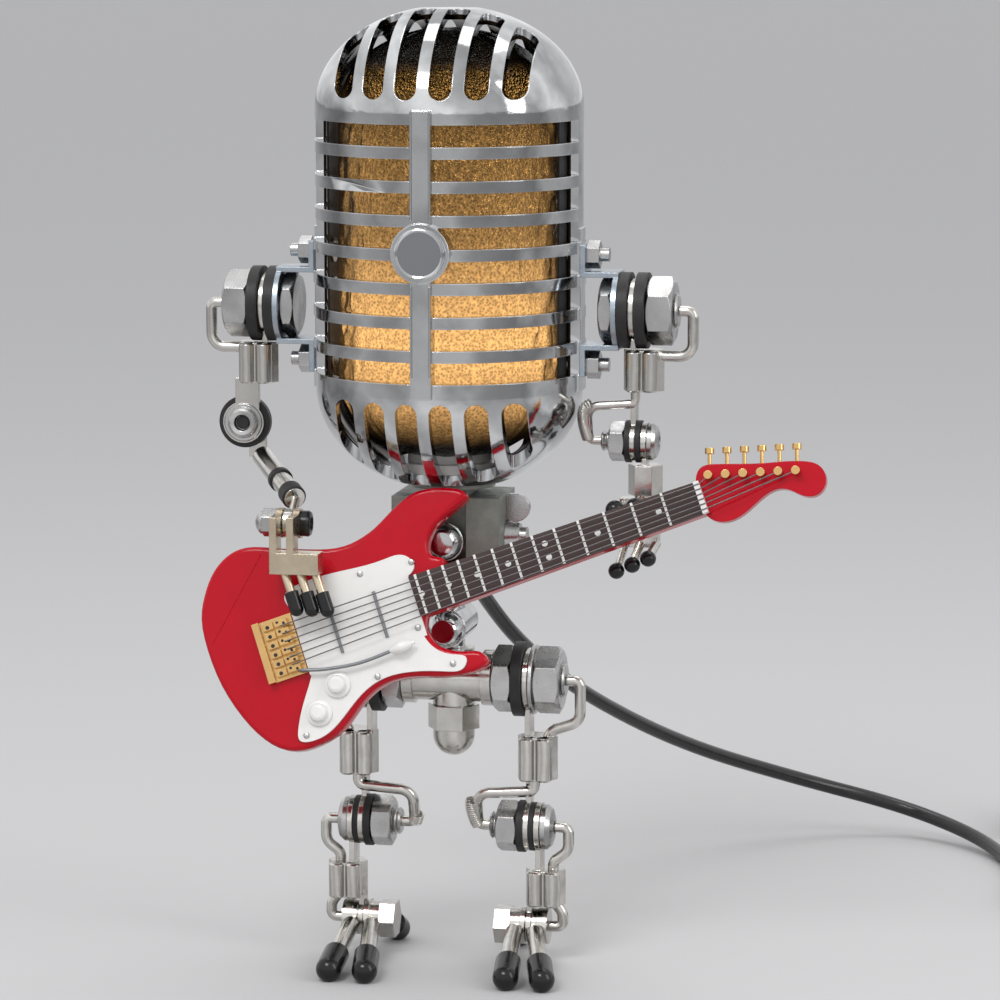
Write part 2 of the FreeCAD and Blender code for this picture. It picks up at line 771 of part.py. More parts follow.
def left_arm():
    at = shoulder_stack()
    sleeve_x = at["arm"] + 3.4
    low = S.arm_sleeve_high - S.arm_sleeve_long
    elbow = V(at["arm"] + S.tongue / 2, 0, S.left_elbow_height)
    half = S.tongue / 2
    sleeve = hexagon("sleeve_flats", "arm_sleeve_long", V(sleeve_x, 0, low))
    strap = block("tongue", "strap_wide - 2", low + 1 - elbow.z, V(elbow.x - half, 1 - S.strap_wide / 2, elbow.z))
    eye = rod("small_ring_across", "tongue", elbow - X * half, X)
    shape = cut(fuse(arm_ring(LEFT), sleeve, strap, eye), arm_bore(LEFT),
                rod("small_across", "3 * tongue", elbow - X * 3 * half, X))
    # bolt: nut and rubber inside, forearm eye and head outside
    rubber_in = elbow.x - half - S.small_rubber
    nut_in = rubber_in - S.small_nut
    end_in = nut_in - S.knee_proud
    rubber_out = elbow.x + half
    eye_out = rubber_out + S.small_rubber + S.side_play
    head_out = eye_out + S.tongue + S.side_play
    front = -S.strap_wide / 2 - 0.4
    loop_points = [V(sleeve_x - 1.8, front, low), V(sleeve_x - 1.8, front, low - 3.4),
                   V(end_in - S.loop_reach, front, low - 4.4), V(end_in - S.loop_reach, 0, elbow.z),
                   V(end_in, 0, elbow.z)]
    inner_loop = tendon(LEFT, loop_points, S.tendon_across - 0.6, sleeve)
    node("left_upper_arm", shape, shoulder_loop(LEFT, sleeve_x, sleeve), inner_loop)
    shank = rod("small_across", head_out - end_in, V(end_in, 0, elbow.z), X)
    head = rod("small_head_across", "small_head", V(head_out, 0, elbow.z), X)
    node("left_elbow_bolt", fuse(shank, head),
         nut("small_nut_flats", "small_across", "small_nut", V(nut_in, 0, elbow.z), X, 30))
    node("left_elbow_rubbers",
         ring("small_rubber_across", "small_across", "small_rubber", V(rubber_in, 0, elbow.z), X),
         ring("small_rubber_across", "small_across", "small_rubber", V(rubber_out, 0, elbow.z), X))
    # forearm: eye, strap, short sleeve
    eye_two = rod("small_ring_across", "tongue", V(eye_out, 0, elbow.z), X)
    sleeve_top = elbow.z - S.small_ring_across / 2 - 1.0
    strap_two = block("tongue", "strap_wide - 2", S.small_ring_across / 2 + 2,
                      V(eye_out, -S.strap_wide / 2 + 1, sleeve_top - 1))
    fore_x = eye_out + S.tongue / 2
    sleeve_two = hexagon("sleeve_flats - 1.5", "left_sleeve_long", V(fore_x, 0, sleeve_top - S.left_sleeve_long))
    node("left_forearm", cut(fuse(eye_two, strap_two, sleeve_two),
                             rod("small_across + 2 * running_fit", "3 * tongue",
                                 V(eye_out - S.tongue, 0, elbow.z), X)))
    left_hand(V(fore_x, 0, sleeve_top - S.left_sleeve_long))


def left_hand(wrist):
    """A bracket behind the guitar's neck, two thumb pins over it and three finger pins under it."""
    palm = block("left_palm_wide", "left_palm_deep", "left_palm_tall",
                 V(wrist.x - S.left_palm_in, -S.left_palm_deep / 2, wrist.z - 1 - S.left_palm_tall))
    post = rod("finger_across + 1.6", 1, wrist - X - Z)
    pins = []
    tips = []
    for spot in range(2):
        root = wrist + V(-5.6 + 5.6 * spot, -1, -3.4)
        end = root + V(-0.6, -S.left_pin_long, 0.7 + 0.6 * spot)
        pins.append(between("finger_across", root, end))
        tips.append(ball("left_tip_across", end + (end - root).normalize() * S.left_tip_across / 2))
    for spot in range(3):
        root = wrist + V(-5.6 + 4.5 * spot, -1, -14)
        end = root + V(-0.3, -S.left_pin_long, -5.0 + 1.6 * spot)
        pins.append(between("finger_across", root, end))
        tips.append(ball("left_low_tip_across", end + (end - root).normalize() * S.left_low_tip_across / 2))
    node("left_hand", fuse(palm, post, *pins))
    node("left_fingertips", *tips)


# Torso


def torso():
    x = S.spine_x
    floor = S.yoke_bottom + S.yoke_floor
    yoke = block("yoke_wide", "yoke_deep", "yoke_tall",
                 V(x - S.yoke_wide / 2, -S.yoke_deep / 2, S.yoke_bottom))
    slot = block("lug_thick + 2 * side_play", "2 * yoke_deep", "yoke_top",
                 V(x - S.lug_thick / 2 - S.side_play, -S.yoke_deep, floor))
    bore = rod("pivot_across", "2 * yoke_wide", V(x - S.yoke_wide, 0, S.pivot_height), X)
    # the web across the back is the seat of the cord's relief
    web = block("lug_thick + 1", "yoke_web", "yoke_web_tall",
                V(x - (S.lug_thick + 1) / 2, S.yoke_deep / 2 - S.yoke_web, S.yoke_bottom))
    node("neck_yoke", fuse(cut(yoke, slot, bore), web))
    right_face = x - S.yoke_wide / 2
    left_face = x + S.yoke_wide / 2
    bolt = rod("pivot_across", "yoke_wide + wing_hub + 2", V(right_face, 0, S.pivot_height), X)
    head = rod("pivot_head_across", "pivot_head", V(right_face, 0, S.pivot_height), -X)
    hub = cone("wing_hub_across", "wing_hub_across - 2", "wing_hub", V(left_face, 0, S.pivot_height), X)
    wings = block("wing_thick", "wing_thick", "wing_span",
                  V(left_face + 0.8, -S.wing_thick / 2, S.pivot_height - S.wing_span / 2))
    flare = []
    for way in (1, -1):
        height = S.pivot_height + way * (S.wing_span / 2 - S.wing_tall / 2)
        flare.append(rod("wing_tall", "wing_thick",
                         V(left_face + 0.8 + S.wing_tall / 4, S.wing_thick / 2, height), -Y))
    outside = block("yoke_wide", "yoke_deep", "2 * wing_span",
                    V(left_face, -S.yoke_deep / 2, S.pivot_height - S.wing_span))
    wing = common(fuse(hub, wings, *flare), outside)
    bore = rod("pivot_across", "yoke_wide", V(left_face - 1, 0, S.pivot_height), X)
    node("neck_pivot", fuse(bolt, head), cut(wing, bore))
    # spine: shaft with a cross collar for the lower nose
    shaft = rod("spine_across", "yoke_bottom - tee_socket_top", V(x, 0, S.tee_socket_top))
    collar = rod("nose_across", "yoke_deep * 0.7", V(x, -S.yoke_deep * 0.35, S.low_nose_height), Y)
    flange = rod("nose_across + 3", "spine_flange", V(x, 0, S.yoke_bottom - S.spine_flange))
    noses = []
    low_seat = -S.yoke_deep * 0.35
    for start_y, z, reach in ((-S.yoke_deep / 2, S.pivot_height - 0.4, S.high_nose_reach),
                              (low_seat, S.low_nose_height, S.low_nose_reach)):
        base = V(x, start_y, z)
        straight = rod("nose_across - 0.6", reach, base, -Y)
        bead = rod("nose_across", "nose_bead", base, -Y)
        straight_end = base - Y * reach
        tip = common(ball("nose_across - 0.6", straight_end),
                     rod("nose_across", "nose_round", straight_end, -Y))
        noses.append(fuse(straight, bead, tip))
    node("spine_shaft", fuse(shaft, collar, flange), *noses)
    pelvis()


def hip_stack():
    """Distances from the middle plane to each layer on the hip axle."""
    jam = S.tee_length / 2 + 0.2
    rubber = jam + S.axle_jam_nut
    ring_at = rubber + S.axle_rubber + S.side_play
    washer = ring_at + S.tongue + S.side_play
    outer_nut = washer + S.axle_washer
    end = outer_nut + S.axle_nut + S.axle_proud
    return {"jam": jam, "rubber": rubber, "ring": ring_at, "washer": washer, "nut": outer_nut, "end": end}


def pelvis():
    at = hip_stack()
    x = S.spine_x
    middle = V(0, 0, S.hip_height)
    tube = rod("tee_across", "tee_length", middle - X * S.tee_length / 2, X)
    socket = rod("tee_socket_across", "tee_socket_top - hip_height", V(x, 0, S.hip_height))
    boss = rod("tee_socket_across", "hip_height - tee_boss_bottom", V(x, 0, S.tee_boss_bottom))
    seat = S.tee_length / 2 - S.tee_flange
    flanges = [rod("tee_flange_across", "tee_flange", middle + X * side * seat, X * side)
               for side in (LEFT, RIGHT)]
    bore = rod("axle_across", "2 * tee_length", middle - X * S.tee_length, X)
    node("hip_tee", cut(fuse(tube, socket, boss, *flanges), bore))
    node("hip_axle", rod("axle_across", 2 * at["end"], middle - X * at["end"], X))
    nuts = []
    rubbers = []
    for side in (LEFT, RIGHT):
        out = X * side
        nuts.append(nut("axle_nut_flats", "axle_across", "axle_jam_nut", middle + out * at["jam"], out, 30))
        nuts.append(nut("axle_nut_flats", "axle_across", "axle_nut", middle + out * at["nut"], out, 30))
        nuts.append(ring("axle_washer_across", "axle_across", "axle_washer", middle + out * at["washer"], out))
        rubbers.append(ring("axle_rubber_across", "axle_across", "axle_rubber", middle + out * at["rubber"], out))
    node("hip_nuts", *nuts)
    node("hip_rubbers", *rubbers)
    hex_low = S.tee_boss_bottom - S.acorn_hex
    hexa = hexagon("acorn_flats", "acorn_hex", V(x, 0, hex_low))
    dome = rod("acorn_dome_across", "acorn_dome - acorn_dome_across / 2", V(x, 0, hex_low), -Z)
    tip = ball("acorn_dome_across", V(x, 0, hex_low - S.acorn_dome + S.acorn_dome_across / 2))
    node("acorn_nut", fuse(hexa, dome, tip))


# Legs

LEG_LINES = {
    side: {line: getattr(S, f"{SIDE_NAMES[side]}_{line}")
           for line in ("thigh_line", "knee_line", "shin_line", "ankle_line", "toe_shift")}
    for side in (LEFT, RIGHT)
}


def knee_stack(side):
    """Distances from the middle plane to each layer on a knee bolt."""
    ring_at = LEG_LINES[side]["knee_line"]
    inner_rubber = ring_at - S.knee_rubber
    inner_nut = inner_rubber - S.knee_nut
    inner_end = inner_nut - S.knee_proud
    outer_rubber = ring_at + S.tongue
    shin_ring = outer_rubber + S.small_rubber + S.side_play
    head_at = shin_ring + S.tongue + S.side_play
    return {"ring": ring_at, "inner_rubber": inner_rubber, "nut": inner_nut, "inner_end": inner_end,
            "outer_rubber": outer_rubber, "shin_ring": shin_ring, "head": head_at,
            "outer_end": head_at + S.knee_head}


def strap_between(side, inner, low, high, y_low=None, wide="strap_wide"):
    """A flat strap in a plane across X, between two heights."""
    if y_low is None:
        y_low = -S.strap_wide / 2
    return side_block(side, inner, "tongue", wide, high - low, y_low, low, S.tongue)


def thigh(side):
    name = SIDE_NAMES[side]
    hip = hip_stack()
    knee = knee_stack(side)
    out = X * side
    sleeve_x = LEG_LINES[side]["thigh_line"]
    low = S.thigh_sleeve_top - S.thigh_sleeve_long
    at_hip = V(side * hip["ring"], 0, S.hip_height)
    at_knee = V(side * knee["ring"], 0, S.knee_height)
    sleeve = hexagon("sleeve_flats", "thigh_sleeve_long", V(side * sleeve_x, 0, low))
    shape = fuse(
        rod("axle_ring_across", "tongue", at_hip, out),
        strap_between(side, hip["ring"], S.thigh_sleeve_top - 1, S.hip_height),
        sleeve,
        strap_between(side, knee["ring"], S.knee_height, low + 1, -1.0, "strap_wide / 2 + 1"),
        rod("knee_ring_across", "tongue", at_knee, out),
    )
    terminal = cut(shape, rod("axle_across + 2 * running_fit", "3 * tongue", at_hip - out * S.tongue, out),
                   rod("knee_across", "3 * tongue", at_knee - out * S.tongue, out))
    end = hip["end"] + S.side_play
    reach = end + S.loop_reach
    upper = [V(sleeve_x + 2.6, 0, S.thigh_sleeve_top - 1), V(sleeve_x + 4.2, 0, S.thigh_sleeve_top + 1.6),
             V(reach, 0, S.thigh_sleeve_top + 4.4), V(reach, 0, S.hip_height), V(end, 0, S.hip_height)]
    inner = knee["inner_end"]
    bulge = inner - S.loop_reach
    lower = [V(sleeve_x - 0.4, -3.2, low + 1), V(sleeve_x - 0.4, -3.2, low - 3.2), V(bulge, -3.2, low - 4.4),
             V(bulge, 0, S.knee_height), V(inner, 0, S.knee_height)]
    rods = [tendon(side, points, S.tendon_across, sleeve) for points in (upper, lower)]
    node(f"{name}_thigh", terminal, *rods)
    bolt = fuse(
        rod("knee_across", knee["head"] - knee["inner_end"], V(side * knee["inner_end"], 0, S.knee_height), out),
        rod("knee_head_across", "knee_head", V(side * knee["head"], 0, S.knee_height), out),
    )
    node(f"{name}_knee_bolt", bolt,
         nut("knee_nut_flats", "knee_across", "knee_nut", V(side * knee["nut"], 0, S.knee_height), out, 30))
    node(f"{name}_knee_rubbers",
         ring("knee_rubber_across", "knee_across", "knee_rubber",
              V(side * knee["inner_rubber"], 0, S.knee_height), out),
         ring("knee_ring_across", "knee_across", "small_rubber",
              V(side * knee["outer_rubber"], 0, S.knee_height), out))


def shin(side):
    name = SIDE_NAMES[side]
    knee = knee_stack(side)
    line = LEG_LINES[side]
    out = X * side
    low = S.shin_sleeve_top - S.shin_sleeve_long
    at_knee = V(side * knee["shin_ring"], 0, S.knee_height)
    at_ankle = V(side * line["ankle_line"], 0, S.ankle_height)
    sleeve_x = line["shin_line"]
    sleeve = hexagon("sleeve_flats", "shin_sleeve_long", V(side * sleeve_x, 0, low))
    shape = fuse(
        rod("knee_ring_across", "tongue", at_knee, out),
        strap_between(side, knee["shin_ring"], S.shin_sleeve_top - 1, S.knee_height),
        sleeve,
        side_block(side, line["ankle_line"], sleeve_x - line["ankle_line"], "strap_wide - 2", "tongue",
                   -S.strap_wide / 2 + 1, low, sleeve_x - line["ankle_line"]),
        strap_between(side, line["ankle_line"], S.ankle_height, low + S.tongue, -S.strap_wide / 2 + 1,
                      "strap_wide - 2"),
        rod("small_ring_across - 1", "tongue", at_ankle, out),
    )
    terminal = cut(shape, rod("knee_across + 2 * running_fit", "3 * tongue", at_knee - out * S.tongue, out),
                   rod("small_across + 2 * running_fit", "3 * tongue", at_ankle - out * S.tongue, out))
    start = knee["outer_end"] + S.side_play
    reach = start + S.loop_reach
    upper = [V(sleeve_x + 2.2, 0, S.shin_sleeve_top - 1), V(sleeve_x + 2.2, 0, S.shin_sleeve_top + 2.2),
             V(reach, 0, S.shin_sleeve_top + 5.4), V(reach, 0, S.knee_height), V(start, 0, S.knee_height)]
    ankle_end = ankle_stack(side)["outer_end"] + S.side_play
    reach_low = ankle_end + S.loop_reach
    lower = [V(sleeve_x + 2.2, 0, low + 1), V(reach_low, 0, low - 2.6), V(reach_low, 0, S.ankle_height),
             V(ankle_end, 0, S.ankle_height)]
    rods = [tendon(side, points, S.tendon_across, sleeve) for points in (upper, lower)]
    node(f"{name}_shin", terminal, *rods)


def ankle_stack(side):
    """Distances from the middle plane to each layer on an ankle bolt."""
    ring_at = LEG_LINES[side]["ankle_line"]
    rubber = ring_at - S.side_play - S.small_rubber
    toe_inner = rubber - S.tongue
    heel = toe_inner - S.tongue
    inner_nut = heel - S.small_nut
    toe_outer = ring_at + S.tongue + S.side_play
    head_at = toe_outer + S.tongue
    return {"rubber": rubber, "toe_inner": toe_inner, "heel": heel, "nut": inner_nut, "toe_outer": toe_outer,
            "head": head_at, "outer_end": head_at + S.small_head}


def foot(side):
    """Three ring terminals on the ankle bolt: two toes and a heel, each dipped in a rubber cap."""
    name = SIDE_NAMES[side]
    at = ankle_stack(side)
    out = X * side
    height = S.ankle_height
    radius = S.toe_cap_across / 2
    rest = radius - S.toe_sole
    middle = (at["toe_inner"] + at["toe_outer"] + S.tongue) / 2 + LEG_LINES[side]["toe_shift"]
    prongs = (
        ("toe_inner", -S.toe_root_shift, middle - S.toe_splay / 2, -S.toe_reach),
        ("toe_outer", S.toe_root_shift, middle + S.toe_splay / 2, -S.toe_reach),
        ("heel", 0.0, at["heel"] - 1.0, S.heel_reach),
    )
    frames = []
    caps = []
    above = block("2 * toe_reach", "4 * toe_reach", "toe_reach",
                  V(side * middle - S.toe_reach, -2 * S.toe_reach, 0))
    for layer, shift, tip_x, tip_y in prongs:
        eye = rod("small_ring_across - 1", "tongue", V(side * at[layer], 0, height), out)
        way = 1 if tip_y > 0 else -1
        # a flat strap runs out past the nuts, and the bar is crimped on its end
        root = V(side * (at[layer] + S.tongue / 2 + shift), way * S.toe_root, height - 0.6)
        strap_y = 0 if way > 0 else -S.toe_root - 1
        strap = side_block(side, at[layer], "tongue", "toe_root + 1", "toe_bar_across - 1", strap_y,
                           root.z - (S.toe_bar_across - 1) / 2, S.tongue)
        tip = V(side * tip_x, tip_y, rest)
        along = (tip - root).normalize()
        cap_long = S.toe_cap_long if way < 0 else S.heel_cap_long
        seat = tip - along * (cap_long - radius)
        bar = between("toe_bar_across", root, seat)
        hole = rod("small_across", "3 * tongue", V(side * at[layer], 0, height) - out * S.tongue, out)
        frames.append(cut(fuse(eye, strap, bar), hole))
        caps.append(common(fuse(between("toe_cap_across", seat, tip), ball("toe_cap_across", tip)), above))
    node(f"{name}_toe_caps", *caps)
    bolt = fuse(rod("small_across", at["head"] - at["nut"], V(side * at["nut"], 0, height), out),
                rod("small_head_across", "small_head", V(side * at["head"], 0, height), out))
    node(f"{name}_foot", *frames, bolt,
         nut("small_nut_flats", "small_across", "small_nut", V(side * at["nut"], 0, height), out, 30),
         ring("small_ring_across", "small_across", "small_rubber", V(side * at["rubber"], 0, height), out))


# Guitar, drawn in its own plane: x along the neck towards the headstock, y across it, z out of its face


def guitar_place():
    turn = FreeCAD.Rotation(X, 90 - S.guitar_lean).multiply(FreeCAD.Rotation(Z, S.neck_rise))
    return FreeCAD.Placement(V(S.guitar_x, S.guitar_y, S.guitar_z), turn)


def guitar_node(label, *items):
    inner = together(*items)
    inner.Placement = guitar_place()
    return node(label, inner)


def sheet_outline(curve, line, thick, low):
    """A plate with a smooth outline closed by straight sides."""
    body = doc.addObject("PartDesign::Body", "Plate")
    sketch = body.newObject("Sketcher::SketchObject", "Outline")
    plane = next(item for item in body.Origin.OriginFeatures if item.Role == "XY_Plane")
    sketch.AttachmentSupport = [(plane, "")]
    sketch.MapMode = "FlatFace"
    sketch.AttachmentOffset = FreeCAD.Placement(V(0, 0, low), FreeCAD.Rotation())
    spline = Part.BSplineCurve()
    spline.interpolate([V(x, y, 0) for x, y in curve])
    sketch.addGeometry(spline, False)
    corners = [curve[-1], *line, curve[0]]
    for (x0, y0), (x1, y1) in zip(corners, corners[1:]):
        sketch.addGeometry(Part.LineSegment(V(x0, y0, 0), V(x1, y1, 0)), False)
    pad = body.newObject("PartDesign::Pad", "Thickness")
    pad.Profile = sketch
    bind(pad, Length=thick)
    return body


BODY_OUTLINE = (
    (10.7, 6.3), (7.6, 10.0), (7.8, 13.6), (10.6, 17.0), (15.4, 19.4), (20.4, 21.2), (22.3, 22.8), (20.6, 25.2),
    (15.0, 27.6), (8.6, 28.4), (2.5, 26.6), (-7.5, 21.8), (-17.4, 20.8), (-30.4, 25.0), (-42.0, 29.4),
    (-50.0, 28.0), (-56.6, 21.8), (-61.0, 11.5), (-60.4, -6.0), (-54.6, -22.0), (-46.0, -30.0), (-33.1, -29.3),
    (-22.6, -22.6), (-15.6, -20.2), (-8.0, -20.8), (2.0, -24.0), (10.0, -25.0), (13.8, -23.6), (12.4, -20.2),
    (6.6, -18.2), (2.2, -15.2), (0.4, -11.2), (1.0, -6.3),
)
GUARD_CURVE = (
    (0.0, 6.2), (2.4, 9.4), (0.4, 12.2), (-5.0, 12.9), (-30.0, 14.2), (-35.2, 12.6), (-35.0, 8.6),
)
GUARD_LOW_CURVE = (
    (-34.6, -11.4), (-37.6, -16.0), (-42.4, -24.0), (-43.2, -28.0), (-39.6, -29.2), (-33.6, -28.0), (-23.0, -21.4),
    (-15.6, -19.0), (-8.0, -19.6), (2.0, -22.8), (7.4, -23.2), (8.6, -21.0), (5.6, -19.0), (1.2, -15.8),
    (-0.8, -11.6), (0.0, -6.2),
)
# measured from the nut
HEADSTOCK_CURVE = (
    (0.4, -4.4), (3.2, -7.6), (6.2, -8.4), (13.0, -6.8), (22.6, -4.6), (25.0, -6.0), (27.6, -8.4),
    (31.6, -9.4), (35.0, -6.4), (34.4, -1.8), (31.0, 0.6), (21.0, 3.6), (8.0, 7.8), (4.0, 8.6), (0.4, 4.4),
)


def fret_places():
    gap = S.fret_first_gap
    place = S.neck_long
    while place - gap > 1.0:
        place -= gap
        gap *= S.fret_ratio
        yield place


def neck_half(along):
    """Half the neck's width at a distance from the body end of the board."""
    return (S.neck_wide_low + (S.neck_wide_high - S.neck_wide_low) * along / S.neck_long) / 2


def flat_plate(corners, thick, low):
    """A plate with straight sides."""
    body = doc.addObject("PartDesign::Body", "Plate")
    sketch = body.newObject("Sketcher::SketchObject", "Outline")
    plane = next(item for item in body.Origin.OriginFeatures if item.Role == "XY_Plane")
    sketch.AttachmentSupport = [(plane, "")]
    sketch.MapMode = "FlatFace"
    sketch.AttachmentOffset = FreeCAD.Placement(V(0, 0, low), FreeCAD.Rotation())
    for (x0, y0), (x1, y1) in zip(corners, corners[1:] + corners[:1]):
        sketch.addGeometry(Part.LineSegment(V(x0, y0, 0), V(x1, y1, 0)), False)
    pad = body.newObject("PartDesign::Pad", "Thickness")
    pad.Profile = sketch
    bind(pad, Length=thick)
    return body


def guitar():
    guitar_node("guitar_body", sheet_outline(BODY_OUTLINE, [], "guitar_thick", -S.guitar_thick))
    board = [(0.0, -neck_half(0)), (S.neck_long, -neck_half(S.neck_long)),
             (S.neck_long, neck_half(S.neck_long)), (0.0, neck_half(0))]
    guitar_node("guitar_fretboard", flat_plate(board, "board_thick", 0.0))
    upper = sheet_outline(GUARD_CURVE, [(-35.0, -11.4), (0.0, -11.4)], "guard_thick", 0.0)
    lower = sheet_outline(GUARD_LOW_CURVE, [(0.0, 6.2), (-34.6, 6.2)], "guard_thick", 0.0)
    guard = cut(fuse(upper, lower), flat_plate(board, "board_thick", 0.0))
    guitar_node("guitar_pickguard", guard)
    low_end = BODY_OUTLINE[-1]
    high_end = BODY_OUTLINE[0]
    neck = flat_plate([(low_end[0], low_end[1] + 0.3), (S.neck_long + 2, -neck_half(S.neck_long)),
                       (S.neck_long + 2, neck_half(S.neck_long)), (high_end[0], high_end[1] - 0.3)],
                      "neck_thick", -S.neck_thick)
    guitar_node("guitar_neck", fuse(neck, headstock()))
    frets = []
    for place in fret_places():
        wide = 2 * neck_half(place)
        frets.append(block("fret_wide", wide, "fret_tall", V(place - S.fret_wide / 2, -wide / 2, S.board_thick)))
    wide = S.neck_wide_high
    frets.append(block("nut_wide", wide, "board_thick + nut_tall", V(S.neck_long, -wide / 2, 0)))
    guitar_node("guitar_frets", *frets)
    guitar_hardware()


def guitar_hardware():
    bridge_low = V(-S.bridge_back, -S.bridge_low, 0)
    middle = bridge_low.y + S.bridge_wide / 2
    plate = block("bridge_long", "bridge_wide", "bridge_thick", bridge_low)
    saddles = []
    strings = []
    for course in range(6):
        y = middle + (2.5 - course) * S.string_gap
        saddles.append(block(6.0, 1.8, "saddle_tall", V(bridge_low.x + 3.6, y - 0.9, S.bridge_thick)))
        top = S.bridge_thick + S.saddle_tall + S.string_across / 2
        nut_y = (2.5 - course) * (S.neck_wide_high - 2) / 5
        nut_top = S.board_thick + S.nut_tall + S.string_across / 2
        start = V(bridge_low.x + 8.0, y, top)
        nut_point = V(S.neck_long + S.nut_wide, nut_y, nut_top)
        strings.append(between("string_across", start, nut_point))
    guitar_node("guitar_bridge", fuse(plate, *saddles))
    posts = []
    keys = []
    first = V(S.neck_long + S.peg_first, 5.4, 0)
    last = V(S.neck_long + S.peg_last, -1.4, 0)
    outward = V(0.30, 0.954, 0)
    head_top = S.headstock_thick - S.neck_thick
    for peg in range(6):
        place = first + (last - first) * (peg / 5)
        posts.append(rod("post_across", "post_tall", V(place.x, place.y, head_top)))
        edge = place + outward * 2.2 + V(0, 0, head_top - S.headstock_thick / 2)
        stem_end = edge + outward * S.key_stem_long
        stem = between("key_stem", edge, stem_end)
        key = rod("key_across", "key_thick", stem_end, outward)
        keys.append(cut(fuse(stem, key), headstock()))
        nut_y = (2.5 - peg) * (S.neck_wide_high - 2) / 5
        start = V(S.neck_long + S.nut_wide + 0.3, nut_y, S.board_thick + S.nut_tall + S.string_across / 2)
        goal = V(place.x, place.y, head_top + S.post_tall * 0.6)
        along = (goal - start).normalize()
        strings.append(between("string_across", start, goal - along * (S.post_across / 2 + 0.2)))
    guitar_node("guitar_strings", *strings)
    guitar_node("guitar_tuners", *posts, *keys)
    knobs = [cone("knob_across", "knob_across - 1.4", "knob_tall", V(x, y, S.guard_thick))
             for x, y in ((-28.3, -16.5), (-35.6, -22.4))]
    foot = V(-37.2, -9.3, S.bridge_thick)
    bend = foot + V(0, 0, 1.6)
    tip = V(-10.0, -12.6, bend.z)
    along = (tip - bend).normalize()
    tip_end = tip + along * S.arm_tip_long
    lever = fuse(rod("arm_across + 0.6", "2 * arm_across", foot), between("arm_across", bend, tip + along),
                 between("arm_tip_across", tip, tip_end), ball("arm_tip_across", tip_end))
    guitar_node("guitar_controls", *knobs, lever)
    back = guitar_place().multVec(V(2.0, 1.5, -S.guitar_thick))
    inward = guitar_place().Rotation.multVec(V(0, 0, -1))
    reach = (S.spine_across / 2 - back.y) / inward.y
    bar = rod("standoff_across", reach, back, inward)
    x = S.spine_x
    node("guitar_standoff", cut(bar, rod("spine_across", "yoke_bottom", V(x, 0, 0)),
                                rod("nose_across + 3", "spine_flange", V(x, 0, S.yoke_bottom - S.spine_flange)),
                                rod("nose_across", "2 * yoke_deep", V(x, -S.yoke_deep, S.low_nose_height), Y)))


def headstock():
    curve = [(x + S.neck_long, y) for x, y in HEADSTOCK_CURVE]
    return sheet_outline(curve, [], "headstock_thick", -S.neck_thick)


# Cord, its relief, switch and plug

GLAND_ALONG = (0.0, 0.8, -0.6)
CORD_ROUTE = (
    (2.6, 40.0, 98.2), (9.4, 58.0, 82.3), (22.0, 90.0, 61.6), (47.0, 137.0, 36.5), (80.7, 172.0, 19.1),
    (112.6, 182.0, 9.6), (136.7, 168.0, 4.6), (150.0, 146.0, 2.3), (156.0, 124.0, 2.3), (157.0, 104.0, 2.6),
    (161.0, 90.0, 5.6),
)
SWITCH_START = (172.0, 84.0)
COIL_CENTRE = (200.0, 128.0)
PLUG_START = (166.0, 176.0)


def cord():
    radius = S.cord_across / 2
    base = V(S.spine_x, S.yoke_deep / 2, S.yoke_bottom + S.gland_rise)
    along = V(*GLAND_ALONG).normalize()
    # the seat starts inside the yoke's web and is trimmed at its back face
    inside = S.gland_across / 2
    seat = rod("gland_across", "gland_long", base - along * inside, along)
    tip_start = base + along * (S.gland_long - inside)
    taper = cone("gland_across", "gland_tip_across", "gland_tip", tip_start, along)
    behind = block("yoke_deep", "2 * yoke_deep", "2 * yoke_deep",
                   V(S.spine_x - S.yoke_deep / 2, S.yoke_deep / 2, S.yoke_bottom - S.yoke_deep))
    node("cord_gland", common(fuse(seat, taper), behind))
    start = tip_start + along * S.gland_tip
    switch_low = V(SWITCH_START[0], SWITCH_START[1], S.switch_tall / 2)
    first = [start, *(V(*point) for point in CORD_ROUTE), switch_low]
    reach, radii, long_one = bent_rod(S.cord_across, first)
    exit_switch = switch_low + X * S.switch_long
    coil_right = V(COIL_CENTRE[0] + S.coil_across / 2 - radius, COIL_CENTRE[1], radius + 0.1)
    second = [exit_switch, exit_switch + V(9.0, 0.6, -1.6), exit_switch + V(17.6, 8.0, -4.0),
              V(coil_right.x + 6, coil_right.y - 18, radius + 0.1), coil_right + V(4.8, -6, 0), coil_right]
    link, radii_two, long_two = bent_rod(S.cord_across, second)
    plug_start = V(PLUG_START[0], PLUG_START[1], S.plug_thick / 2)
    coil_top = V(COIL_CENTRE[0], COIL_CENTRE[1] + S.coil_across / 2 - radius / 2, radius + 0.1)
    third = [coil_top, coil_top + V(-14, 0.5, 0), coil_top + V(-27, 3.0, 0.8),
             plug_start + V(0.4, -5.0, -0.6), plug_start]
    tail, radii_three, long_three = bent_rod(S.cord_across, third)
    # each end is trimmed square, just short of the face it goes into
    gap = S.cord_end_gap
    at_switch = block("switch_long + 2 * cord_end_gap", "switch_wide", "switch_tall",
                      switch_low - V(gap, S.switch_wide / 2, S.switch_tall / 2))
    at_plug = block("plug_across", "plug_long", "plug_thick",
                    plug_start - V(S.plug_across / 2, gap, S.plug_thick / 2))
    node("cord", cut(reach, at_switch), cut(link, at_switch), cut(tail, at_plug))
    print("cord radii", [round(r) for r in radii + radii_two + radii_three])
    print("cord lengths", round(long_one), round(long_two), round(long_three))
    coil = ring("coil_across", "coil_hole", "coil_tall", V(*COIL_CENTRE, 0.1))
    node("cord_coil", coil)
    switch_and_plug(switch_low, plug_start)


